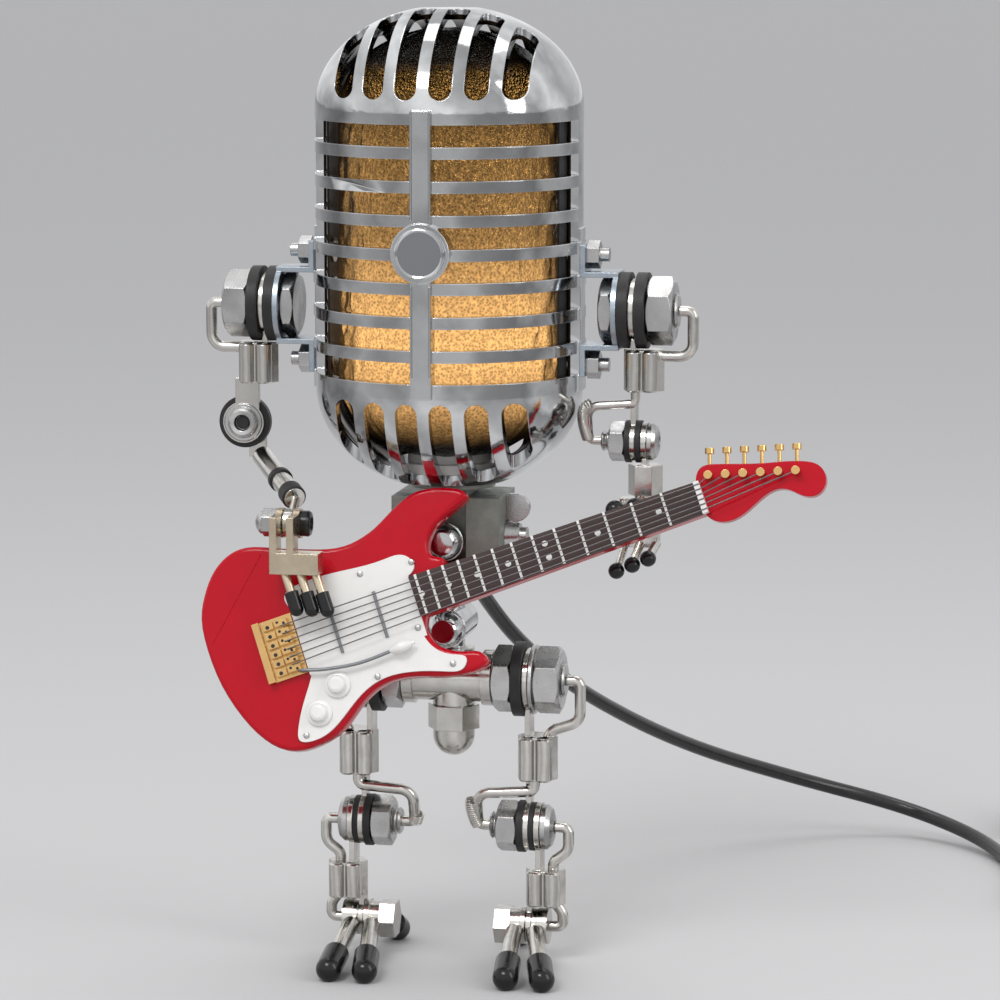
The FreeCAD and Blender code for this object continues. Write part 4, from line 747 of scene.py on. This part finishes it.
def build_rib_edges(s):
    """The thin raised edges of the rib."""
    low = s.straight_bottom + 6.5
    high = s.straight_top + 1.0
    for side in (LEFT, RIGHT):
        for name, start, end in (("low", low, s.badge_height - 9), ("high", s.badge_height + 9, high)):
            points = [(side * 2.6, -s.head_across / 2 - 2.05, height) for height in (start, end)]
            wire(f"rib_edge_{SIDE_NAMES[side]}_{name}", points, 0.7, chrome(), "head")


# Shoulders and arms

ARM_SLEEVE_TOP = 178.5
ARM_SLEEVE_LONG = 11.6
RIVET = (-60.5, -0.75, 155.0)
RIGHT_WRIST = (-40.0, -29.1, 130.6)
KNUCKLE = (-56.1, 4.1, 144.6)
WRIST_END = (-40.0, -22.7, 136.6)


def bracket_out(s):
    """Distance of the bracket's outer face from the middle plane."""
    return s.head_across / 2 + 0.3 + 11.0


def arm_out(s):
    """Distance of an upper arm's plate from the middle plane."""
    return bracket_out(s) + 3.0 + 0.2


def shoulder_layers(s):
    """Distances of the bracket's web and of the outer nut from the middle plane."""
    web = bracket_out(s) - 1.5
    nut = web + 1.5 + 3.0 + 0.2 + 1.5 + 0.2 + 3.0
    return web, nut


class LAMP_OT_arms(bpy.types.Operator):
    """Finishes the brackets and arms, and turns the shoulder and elbow hardware"""

    bl_idname = "robot_lamp.arms"
    bl_label = "Shoulders and arms"

    def execute(self, context):
        s = sizes()
        dress(blue_zinc(), "shoulder_brackets")
        dress(zinc(), "bracket_fasteners", "right_wrist_bolt")
        dress(rubber(), "shoulder_rubbers", "right_elbow_disc", "left_elbow_rubbers")
        dress(nickel(), "right_upper_arm", "right_forearm", "left_upper_arm", "left_forearm", "left_hand")
        dress(brass(), "right_hand")
        build_forearm_rings()
        build_wrist_ends()
        dress(dip(), "right_fingertips", "left_fingertips")
        for side in (RIGHT, LEFT):
            name = f"{SIDE_NAMES[side]}_arm"
            build_crimp(f"{name}_crimp", side * (arm_out(s) + 3.4), ARM_SLEEVE_TOP, ARM_SLEEVE_LONG, name)
        build_shoulder_bolts(s)
        build_elbow_bolt(s)
        build_elbow_winding(s)
        build_rivet_rings()
        return {"FINISHED"}


def build_shoulder_bolts(s):
    web, nut = shoulder_layers(s)
    bm = bmesh.new()
    for side in (LEFT, RIGHT):
        out = X * side
        hexagonal(bm, s.axle_flats, 4.0, (side * (web - 4.0), 0, s.shoulder_height), out, spin=30)
        turned(bm, [(0, s.axle_across / 2), (12.4, s.axle_across / 2)],
               (side * web, 0, s.shoulder_height), out)
        threaded(bm, s.axle_across - 0.1, 8.6, (side * nut, 0, s.shoulder_height), out, 1.25)
        hexagonal(bm, s.axle_flats, 7.6, (side * nut, 0, s.shoulder_height), out, s.axle_across, 30)
    finish_piece("shoulder_bolts_turned", bm, zinc(), "head", "shoulder_bolts")


def build_elbow_bolt(s):
    middle = arm_out(s) + 0.75
    nut = middle - 0.75 - 1.5 - 4.6
    head = middle + 0.75 + 1.5 + 0.2 + 1.5 + 0.2
    height = s.elbow_height
    bm = bmesh.new()
    threaded(bm, s.small_across - 0.1, 3.4, (nut + 1.0, 0, height), -X, 1.0)
    turned(bm, [(0, s.small_across / 2), (head - nut, s.small_across / 2)], (nut, 0, height), X)
    hexagonal(bm, s.small_flats, 4.6, (nut, 0, height), X, s.small_across, 30)
    turned(bm, [(0, 5.25), (1.2, 5.25), (2.3, 4.5), (2.9, 3.0), (3.0, 1.8), (1.6, 1.7)], (head, 0, height), X)
    finish_piece("left_elbow_bolt_turned", bm, zinc(), "left_arm", "left_elbow_bolt")


def build_elbow_winding(s):
    arm = arm_out(s)
    sleeve = arm + 3.4
    low = ARM_SLEEVE_TOP - ARM_SLEEVE_LONG
    end = arm - 1.5 - 4.6 - 2.3
    points = [(sleeve - 1.8, -3.9, low), (sleeve - 1.8, -3.9, low - 3.4), (end - 3.8, -3.9, low - 4.4),
              (end - 3.8, 0, s.elbow_height), (end, 0, s.elbow_height)]
    line = winding(points, 2.6, s.wrap_wire, 0.50, 0.86)
    wire("left_elbow_winding", line, s.wrap_wire, nickel(), "left_arm")


def build_crimp(name, x, top, long, body):
    """The two rolled halves of a crimped barrel, side by side on the front of a sleeve."""
    bm = bmesh.new()
    profile = [(0, 1.9), (0.5, 2.4), (long - 0.5, 2.4), (long, 1.9)]
    for side in (LEFT, RIGHT):
        turned(bm, profile, (x + side * 2.42, -4.1, top - long), Z, 32)
    finish_piece(name, bm, nickel(), body)


def build_rivet_rings():
    """The right elbow's hollow rivet: stepped rings in front, a shank and a head behind."""
    bm = bmesh.new()
    x, front, height = RIVET
    front_steps = [(0.0, 5.6), (0.35, 5.3), (0.3, 4.5), (1.3, 4.2), (1.8, 3.5), (1.6, 2.4), (0.5, 2.0),
                   (0.4, 0.2)]
    turned(bm, front_steps, RIVET, -Y, 56)
    turned(bm, [(0.0, 1.5), (6.8, 1.5)], RIVET, Y, 32)
    turned(bm, [(0.0, 3.8), (1.2, 3.8), (1.8, 3.0)], (x, front + 5.8, height), Y, 40)
    finish_piece("right_elbow_rivet_rings", bm, zinc(), "right_arm", "right_elbow_rivet")
    # A dark disc at the bottom of the rivet's recess, painted there as shade
    bm = bmesh.new()
    turned(bm, [(0.0, 1.95), (0.25, 1.7)], (x, front - 0.5, height), -Y, 32)
    finish_piece("right_elbow_recess", bm, rubber(), "right_arm")


def build_wrist_ends():
    """The dome on one end of the right wrist's bolt and the black cap on the other."""
    x, y, height = RIGHT_WRIST
    dome, cap = bmesh.new(), bmesh.new()
    turned(dome, [(0.0, 3.4), (0.8, 3.2), (1.7, 2.3), (2.3, 0.9)], (x - 7.45, y, height), -X, 40)
    finish_piece("right_wrist_dome", dome, zinc(), "right_fore")
    turned(cap, [(0.0, 3.6), (2.0, 3.7), (2.6, 3.3), (2.8, 2.2), (2.3, 1.6)], (x + 3.5, y, height), X, 40)
    finish_piece("right_wrist_cap", cap, dip(), "right_fore")


def build_forearm_rings():
    """The black bands round the right forearm's barrel."""
    knuckle, wrist_end = Vector(KNUCKLE), Vector(WRIST_END)
    along = (wrist_end - knuckle).normalized()
    bm = bmesh.new()
    for share, reach in ((0.52, 2.4), (0.84, 4.6)):
        start = knuckle.lerp(wrist_end, share)
        turned(bm, [(0, 3.05), (0.3, 3.5), (reach - 0.3, 3.5), (reach, 3.05)], start, along, 40)
    finish_piece("right_forearm_bands", bm, rubber(), "right_fore")


# Torso


class LAMP_OT_torso(bpy.types.Operator):
    """Finishes the yoke, spine and hips, and turns the hip nuts and the axle's threads"""

    bl_idname = "robot_lamp.torso"
    bl_label = "Torso"

    def execute(self, context):
        s = sizes()
        dress(casting(), "neck_yoke")
        dress(zinc(), "neck_pivot", "guitar_standoff")
        dress(chrome(), "spine_shaft")
        dress(nickel(), "hip_tee", "acorn_nut")
        dress(rubber(), "hip_rubbers")
        build_hips(s)
        return {"FINISHED"}


def build_hips(s):
    jam = 13.2
    washer = jam + 6.0 + 3.0 + 0.2 + 1.5 + 0.2
    nut = washer + 1.2
    end = nut + 7.6 + 1.0
    bm = bmesh.new()
    for side in (LEFT, RIGHT):
        out = X * side
        hexagonal(bm, s.axle_flats, 6.0, (side * jam, 0, s.hip_height), out, s.axle_across, 30)
        turned(bm, [(0, 5.0), (0.0, 9.8), (0.2, 10.0), (1.0, 10.0), (1.2, 9.8), (1.2, 5.0)],
               (side * washer, 0, s.hip_height), out, 64, caps=False)
        hexagonal(bm, s.axle_flats, 7.6, (side * nut, 0, s.hip_height), out, s.axle_across, 30)
    finish_piece("hip_nuts_turned", bm, zinc(), "torso", "hip_nuts")
    bm = bmesh.new()
    turned(bm, [(0, 4.4), (2 * nut, 4.4)], (-nut, 0, s.hip_height), X)
    for side in (LEFT, RIGHT):
        threaded(bm, s.axle_across - 0.1, end - 12.0, (side * 12.0, 0, s.hip_height), X * side, 1.25)
    finish_piece("hip_axle_threaded", bm, zinc(), "torso", "hip_axle")


# Legs

# Distances from the middle plane, and heights
KNEE_RING = {LEFT: 22.3, RIGHT: 24.6}
THIGH_SLEEVE = {LEFT: 25.6, RIGHT: 27.0}
SHIN_SLEEVE = {LEFT: 28.0, RIGHT: 30.4}
THIGH_SLEEVE_TOP = 66.5
THIGH_SLEEVE_LONG = 12.6
SHIN_SLEEVE_TOP = 27.5
SHIN_SLEEVE_LONG = 10.3
# Where along each inner rod the winding starts, as a share of its length
WOUND_FROM = {LEFT: 0.66, RIGHT: 0.80}


class LAMP_OT_legs(bpy.types.Operator):
    """Finishes the legs and turns the knee hardware"""

    bl_idname = "robot_lamp.legs"
    bl_label = "Legs"

    def execute(self, context):
        s = sizes()
        for side in (LEFT, RIGHT):
            name = SIDE_NAMES[side]
            dress(nickel(), f"{name}_thigh", f"{name}_shin", f"{name}_foot")
            dress(rubber(), f"{name}_knee_rubbers")
            dress(dip(), f"{name}_toe_caps")
            build_knee(s, side)
            build_crimp(f"{name}_thigh_crimp", side * THIGH_SLEEVE[side], THIGH_SLEEVE_TOP, THIGH_SLEEVE_LONG,
                        f"{name}_thigh_body")
            build_crimp(f"{name}_shin_crimp", side * SHIN_SLEEVE[side], SHIN_SLEEVE_TOP, SHIN_SLEEVE_LONG,
                        f"{name}_shin_body")
        return {"FINISHED"}


def build_knee(s, side):
    name = SIDE_NAMES[side]
    ring = KNEE_RING[side]
    nut = ring - 2.0 - 6.0
    end = nut - 2.3
    head = ring + 1.5 + 1.5 + 0.2 + 1.5 + 0.2
    out = X * side
    bm = bmesh.new()
    turned(bm, [(0, s.knee_across / 2), (head - nut, s.knee_across / 2)], (side * nut, 0, s.knee_height), out)
    threaded(bm, s.knee_across - 0.1, nut - end + 1.0, (side * (nut + 1.0), 0, s.knee_height), -out, 1.25)
    hexagonal(bm, s.knee_flats, 6.0, (side * nut, 0, s.knee_height), out, s.knee_across, 30)
    turned(bm, [(0, 6.5), (1.4, 6.5), (2.7, 5.4), (3.3, 3.4), (3.4, 2.0), (2.0, 1.9)],
           (side * head, 0, s.knee_height), out)
    finish_piece(f"{name}_knee_bolt_turned", bm, zinc(), f"{name}_thigh_body", f"{name}_knee_bolt")
    sleeve = THIGH_SLEEVE[side]
    low = THIGH_SLEEVE_TOP - THIGH_SLEEVE_LONG
    bulge = end - 3.8
    points = [(sleeve - 0.4, -3.2, low), (sleeve - 0.4, -3.2, low - 3.2), (bulge, -3.2, low - 4.4),
              (bulge, 0, s.knee_height), (end, 0, s.knee_height)]
    line = winding([(side * x, y, z) for x, y, z in points], 3.2, s.wrap_wire, WOUND_FROM[side], 0.88)
    wire(f"{name}_knee_winding", line, s.wrap_wire, nickel(), f"{name}_thigh_body")


# Guitar, drawn in its own plane: x along the neck, y across it, z out of its face

GUITAR_PLACE = (-3.45, -31.3, 111.1)
BODY_OUTLINE = (
    (10.7, 6.3), (7.6, 10.0), (7.8, 13.6), (10.6, 17.0), (15.4, 19.4), (20.4, 21.2), (22.3, 22.8),
    (20.6, 25.2), (15.0, 27.6), (8.6, 28.4), (2.5, 26.6), (-7.5, 21.8), (-17.4, 20.8), (-30.4, 25.0),
    (-42.0, 29.4), (-50.0, 28.0), (-56.6, 21.8), (-61.0, 11.5), (-60.4, -6.0), (-54.6, -22.0), (-46.0, -30.0),
    (-33.1, -29.3), (-22.6, -22.6), (-15.6, -20.2), (-8.0, -20.8), (2.0, -24.0), (10.0, -25.0), (13.8, -23.6),
    (12.4, -20.2), (6.6, -18.2), (2.2, -15.2), (0.4, -11.2), (1.0, -6.3),
)
GUARD_SCREWS = ((2.0, 9.6), (-29.5, 11.6), (-12.9, 11.2), (-1.8, -8.6), (4.6, -21.4), (-16.8, -18.0),
                (-41.0, -27.2))
# A quarter round as shares of its radius: inward, down
EDGE_ROUNDING = ((1.0, 0.0), (0.62, 0.08), (0.28, 0.30), (0.08, 0.62), (0.0, 1.0))
PICKUPS = (-24.2, -10.8)
KNOBS = ((-28.3, -16.5), (-35.6, -22.4))
ARM_LINE = ((-37.2, -9.3, 1.2), (-36.6, -9.5, 2.8), (-30.0, -11.5, 3.0), (-20.0, -13.0, 3.0),
            (-9.0, -12.6, 3.0))
BOARD_DOTS = ((2.3, 0), (10.3, 0), (18.8, 0), (28.0, 0), (39.5, 2), (39.5, -2), (54.5, 0), (72.5, 0))


def guitar_matrix():
    return (Matrix.Translation(place(*GUITAR_PLACE)) @ Matrix.Rotation(math.radians(GUITAR_LEAN), 4, "X")
            @ Matrix.Rotation(math.radians(GUITAR_TURN), 4, "Z") @ Matrix.Scale(0.001, 4))


class LAMP_OT_guitar(bpy.types.Operator):
    """Builds the guitar's rounded body and small fittings, and finishes the rest of it"""

    bl_idname = "robot_lamp.guitar"
    bl_label = "Guitar"

    def execute(self, context):
        s = sizes()
        dress(lacquer(), "guitar_neck")
        dress(white(), "guitar_pickguard", "guitar_frets")
        dress(wood(), "guitar_fretboard")
        dress(gold(), "guitar_tuners")
        dress(string_steel(), "guitar_strings")
        build_body(s)
        build_fittings(s)
        build_bridge()
        build_controls(s)
        return {"FINISHED"}


def build_body(s):
    points = [Vector((x, y, 0)) for x, y in BODY_OUTLINE]
    line = smooth_line(points, 5, closed=True)
    count = len(line)
    inward = []
    for i in range(count):
        along = (line[(i + 1) % count] - line[i - 1]).normalized()
        inward.append(Vector((-along.y, along.x, 0)))
    edge = s.guitar_edge
    levels = [(edge * inset, -edge * drop) for inset, drop in EDGE_ROUNDING]
    deep = [(inset, -s.guitar_thick - height) for inset, height in reversed(levels)]
    bm = bmesh.new()
    rings = []
    for inset, height in levels + deep:
        drop = Vector((0, 0, height))
        rings.append([bm.verts.new(spot + way * inset + drop) for spot, way in zip(line, inward)])
    skin(bm, rings)
    bm.faces.new(rings[0])
    bm.faces.new(list(reversed(rings[-1])))
    bmesh.ops.transform(bm, matrix=guitar_matrix(), verts=bm.verts)
    finish_piece("guitar_body_rounded", bm, lacquer(), "torso", "guitar_body")


def disc(bm, radius, height, x, y, low, dome=0.3, count=24):
    """A low round piece on the guitar's face, in the guitar's own plane."""
    rings = []
    for reach, around in ((0, radius), (height - dome, radius), (height - 0.3 * dome, radius * 0.86),
                          (height, radius * 0.6)):
        rings.append([bm.verts.new((x + around * math.cos(2 * math.pi * k / count),
                                    y + around * math.sin(2 * math.pi * k / count), low + reach))
                      for k in range(count)])
    skin(bm, rings)
    bm.faces.new(rings[-1])


def slab(bm, x0, x1, y0, y1, z0, z1):
    corners = ((x0, y0), (x1, y0), (x1, y1), (x0, y1))
    low, high = ([bm.verts.new((x, y, z)) for x, y in corners] for z in (z0, z1))
    skin(bm, [low, high], caps=True)


def lay_on_guitar(*pieces):
    """Moves pieces drawn in the guitar's plane to its place and keeps them."""
    matrix = guitar_matrix()
    for name, bm, material, nodes in pieces:
        bmesh.ops.transform(bm, matrix=matrix, verts=bm.verts)
        finish_piece(name, bm, material, "torso", *nodes)


def guitar_spot(x, y, z):
    """A point of the guitar's plane in millimetres from the robot's axis."""
    spot = guitar_matrix() @ Vector((x, y, z)) * 1000
    return Vector((spot.x - AXIS_X, spot.y - AXIS_Y, spot.z))


def build_fittings(s):
    guard = s.guard_thick
    screws, ridges, dots = bmesh.new(), bmesh.new(), bmesh.new()
    for x, y in GUARD_SCREWS:
        disc(screws, 0.9, 0.45, x, y, guard)
        slab(screws, x - 0.75, x + 0.75, y - 0.12, y + 0.12, guard + 0.4, guard + 0.52)
    for x in PICKUPS:
        slab(ridges, x - 0.45, x + 0.45, -8.4, 5.2, guard, guard + 0.5)
    for x, y in BOARD_DOTS:
        disc(dots, 0.85, 0.12, x, y, 1.8, 0.05)
    lay_on_guitar(("guard_screws", screws, zinc(), ()), ("pickup_ridges", ridges, badge_grey(), ()),
                  ("board_dots", dots, white(), ()))
    high = [guitar_spot(-37.9, 26.4, -0.05), guitar_spot(-59.6, 5.8, -0.05)]
    wire("arm_bevel", high, 0.3, lacquer(), "torso")


def build_bridge():
    """The bridge: a plate with a raised back, and six saddles each with two screws and a slot, with dark discs
    painted on them as shade in the screw holes and the slot.
    """
    plate, saddles, hole_shade = bmesh.new(), bmesh.new(), bmesh.new()
    slab(plate, -46.6, -35.2, -10.4, 7.2, 0.0, 1.2)
    slab(plate, -46.6, -44.6, -10.4, 7.2, 1.2, 2.7)
    for course in range(6):
        y = -1.6 + (2.5 - course) * 2.7
        slab(saddles, -43.8, -40.6, y - 1.0, y + 1.0, 1.2, 2.9)
        slab(saddles, -40.2, -36.4, y - 0.9, y + 0.9, 1.2, 3.3)
        # Dark discs painted as shade in the saddles' screw holes and slots
        disc(hole_shade, 0.55, 0.12, -42.3, y - 0.2, 2.9, 0.05)
        disc(hole_shade, 0.40, 0.12, -37.4, y - 0.4, 3.3, 0.05)
        disc(hole_shade, 0.40, 0.12, -39.2, y + 0.3, 3.3, 0.05)
    lay_on_guitar(("bridge_plate", plate, gold(), ("guitar_bridge",)), ("bridge_saddles", saddles, gold(), ()),
                  ("bridge_holes", hole_shade, rubber(), ()))


def build_controls(s):
    """Two domed knobs and the bent arm with its soft tip."""
    knobs, tip = bmesh.new(), bmesh.new()
    for x, y in KNOBS:
        disc(knobs, 3.7, 1.2, x, y, s.guard_thick, 0.5, 48)
        disc(knobs, 2.6, 3.0, x, y, s.guard_thick, 1.2, 48)
    lay_on_guitar(("guitar_knobs", knobs, white(), ("guitar_controls",)))
    line = smooth_line([guitar_spot(*spot) for spot in ARM_LINE], 6)
    wire("guitar_arm", line, 1.0, badge_grey(), "torso")
    start = guitar_spot(-11.0, -12.6, 3.0)
    end = guitar_spot(-3.6, -12.5, 3.0)
    long = (end - start).length
    profile = [(long * step / 12, 0.35 + 1.25 * math.sin(math.pi * min(step + 0.6, 11.6) / 12))
               for step in range(13)]
    turned(tip, profile, start, end - start, 32)
    finish_piece("guitar_arm_tip", tip, white(), "torso")


# Cord

CORD_START = (1.0, 28.848, 106.364)
CORD_ROUTE = (
    (2.6, 40.0, 98.2), (9.4, 58.0, 82.3), (22.0, 90.0, 61.6), (47.0, 137.0, 36.5), (80.7, 172.0, 19.1),
    (112.6, 182.0, 9.6), (136.7, 168.0, 4.6), (150.0, 146.0, 2.3), (156.0, 124.0, 2.3), (157.0, 104.0, 2.6),
    (161.0, 90.0, 5.6), (172.0, 84.0, 6.5),
)
CORD_LINK = (
    (195.0, 84.0, 6.5), (218.0, 84.0, 6.5), (227.0, 84.6, 4.9), (235.6, 92.0, 2.5), (234.8, 110.0, 2.3),
)
CORD_TAIL = ((169.5, 163.0, 9.4), (166.2, 171.0, 7.2), (166.0, 176.0, 7.0))
COIL_CENTRE = (200.0, 128.0)
COIL_TURNS = ((28.8, 2.3), (28.8, 6.8), (28.8, 11.3), (24.0, 11.3), (24.0, 6.8), (24.0, 2.3), (19.2, 2.3),
              (19.2, 6.8), (19.2, 11.3))
COIL_END = ((0, 19.6, 11.5), (25, 19.8, 12.4), (50, 20.4, 14.2), (74, 22.4, 16.2), (94, 26.4, 16.9),
            (110, 32.0, 15.6), (120, 38.6, 12.0))
COIL_STEPS = 16


def coil_spot(angle, radius, height):
    return COIL_CENTRE[0] + radius * math.cos(angle), COIL_CENTRE[1] + radius * math.sin(angle), height


def coil_points():
    """The control points of the coil, turn by turn, and of its end crossing over the top."""
    found = []
    spread = 1 / math.cos(math.pi / COIL_STEPS)
    for index, (radius, height) in enumerate(COIL_TURNS):
        ahead = COIL_TURNS[min(index + 1, len(COIL_TURNS) - 1)]
        for step in range(COIL_STEPS):
            share = min(max((step - COIL_STEPS + 4.5) / 4, 0.0), 1.0)
            around = (radius + (ahead[0] - radius) * share) * spread
            angle = 2 * math.pi * step / COIL_STEPS
            found.append(coil_spot(angle, around, height + (ahead[1] - height) * share))
    for degrees, radius, height in COIL_END:
        found.append(coil_spot(math.radians(degrees), radius, height))
    return found


class LAMP_OT_cord(bpy.types.Operator):
    """Lays the cord from its relief to the switch, the coil and the plug"""

    bl_idname = "robot_lamp.cord"
    bl_label = "Cord"

    def execute(self, context):
        s = sizes()
        dress(rubber(), "cord_gland")
        dress(moulded(), "switch_housing", "switch_rocker", "plug")
        points = [CORD_START, *CORD_ROUTE, *CORD_LINK, *coil_points(), *CORD_TAIL]
        curve, spline = round_line("cord_line", points, s.cord_across, pvc(), "NURBS")
        curve.bevel_resolution = 8
        curve.resolution_u = 8
        spline.order_u = 3
        spline.use_endpoint_u = True
        item = keep("cord_line", curve, "torso", ("cord", "cord_coil"))
        cord_length(item)
        return {"FINISHED"}


def cord_length(item):
    """Length of the cord's own line, in metres."""
    depth = item.data.bevel_depth
    item.data.bevel_depth = 0.0
    bpy.context.view_layer.update()
    line = bpy.data.meshes.new_from_object(item.evaluated_get(bpy.context.evaluated_depsgraph_get()))
    item.data.bevel_depth = depth
    spots = [vertex.co for vertex in line.vertices]
    length = sum((spots[a] - spots[b]).length for a, b in (edge.vertices for edge in line.edges))
    bpy.data.meshes.remove(line)
    return length


# Studio

CAMERA_PLACE = (240.5, -1162.3, 311.4)
CAMERA_TARGET = (14.0, 2.7, 134.0)
# Each lamp's name, place, width and height in metres, and power
LAMPS = (
    ("key", (-0.25, -0.80, 1.05), (0.5, 0.35), 6.0),
    ("fill", (0.95, -0.35, 0.60), (0.35, 0.8), 3.2),
    ("top", (0.05, 0.30, 1.10), (0.7, 0.4), 2.4),
)
LAMP_TARGET = (-0.01, 0.0, 0.14)


class LAMP_OT_stage(bpy.types.Operator):
    """Makes the floor, the soft lamps and the camera at the photograph's angle"""

    bl_idname = "robot_lamp.stage"
    bl_label = "Studio"

    def execute(self, context):
        build_floor()
        build_world()
        build_lamps()
        build_camera()
        return {"FINISHED"}


def build_floor():
    bm = bmesh.new()
    bmesh.ops.create_grid(bm, x_segments=2, y_segments=2, size=20.0)
    mesh = bpy.data.meshes.new("floor")
    bm.to_mesh(mesh)
    bm.free()
    item = bpy.data.objects.new("floor", mesh)
    bpy.context.collection.objects.link(item)
    material = bpy.data.materials.new("floor")
    material.use_nodes = True
    shader = material.node_tree.nodes["Principled BSDF"]
    shader.inputs["Base Color"].default_value = (*colours().floor, 1)
    shader.inputs["Roughness"].default_value = 0.9
    shader.inputs["Specular IOR Level"].default_value = 0.1
    mesh.materials.append(material)


def build_world():
    world = bpy.data.worlds.new("studio")
    bpy.context.scene.world = world
    world.use_nodes = True
    tree = world.node_tree
    background = tree.nodes["Background"]
    path = put(tree, "ShaderNodeLightPath").outputs
    seen = maths(tree, "MAXIMUM", path["Is Camera Ray"], path["Is Glossy Ray"])
    also = maths(tree, "MAXIMUM", seen, path["Is Transmission Ray"])
    feed(tree, background, {"Color": mixed(tree, also, (0.92, 0.92, 0.93, 1), (0.95, 0.95, 0.96, 1))})


def build_lamps():
    for name, where, (wide, tall), power in LAMPS:
        light = bpy.data.lights.new(name, "AREA")
        light.shape = "RECTANGLE"
        light.size = wide
        light.size_y = tall
        light.energy = power
        item = bpy.data.objects.new(name, light)
        item.location = where
        item.rotation_euler = (Vector(LAMP_TARGET) - Vector(where)).to_track_quat("-Z", "Y").to_euler()
        bpy.context.collection.objects.link(item)


def build_camera():
    data = bpy.data.cameras.new("photo_view")
    data.lens = 151.2
    data.sensor_width = 36.0
    data.clip_start = 0.1
    data.clip_end = 60.0
    item = bpy.data.objects.new("photo_view", data)
    item.location = place(*CAMERA_PLACE)
    target = place(*CAMERA_TARGET)
    item.rotation_euler = (target - item.location).to_track_quat("-Z", "Y").to_euler()
    bpy.context.collection.objects.link(item)
    bpy.context.scene.camera = item
    bpy.context.scene.view_settings.view_transform = "Standard"


# Add-on


OPERATORS = (LAMP_OT_stage, LAMP_OT_cord, LAMP_OT_head, LAMP_OT_arms, LAMP_OT_torso, LAMP_OT_legs,
             LAMP_OT_guitar)


class LAMP_PT_sidebar(bpy.types.Panel):
    bl_idname = "LAMP_PT_sidebar"
    bl_label = "Robot lamp"
    bl_space_type = "VIEW_3D"
    bl_region_type = "UI"
    bl_category = "Robot lamp"

    def draw(self, context):
        for operator in OPERATORS:
            self.layout.operator(operator.bl_idname)
        for group in (context.scene.lamp_sizes, context.scene.lamp_colours):
            box = self.layout.box()
            for name in group.bl_rna.properties.keys():
                if name not in ("rna_type", "name"):
                    box.prop(group, name)


CLASSES = (LampSizes, LampColours, *OPERATORS, LAMP_PT_sidebar)


def register():
    for item in CLASSES:
        bpy.utils.register_class(item)
    bpy.types.Scene.lamp_sizes = bpy.props.PointerProperty(type=LampSizes)
    bpy.types.Scene.lamp_colours = bpy.props.PointerProperty(type=LampColours)


def unregister():
    del bpy.types.Scene.lamp_colours
    del bpy.types.Scene.lamp_sizes
    for item in reversed(CLASSES):
        bpy.utils.unregister_class(item)


def main():
    register()
    for operator in OPERATORS:
        group, name = operator.bl_idname.split(".")
        result = getattr(getattr(bpy.ops, group), name)()
        if result != {"FINISHED"}:
            raise RuntimeError(f"{operator.bl_idname} did not finish")


if __name__ == "__main__":
    main()
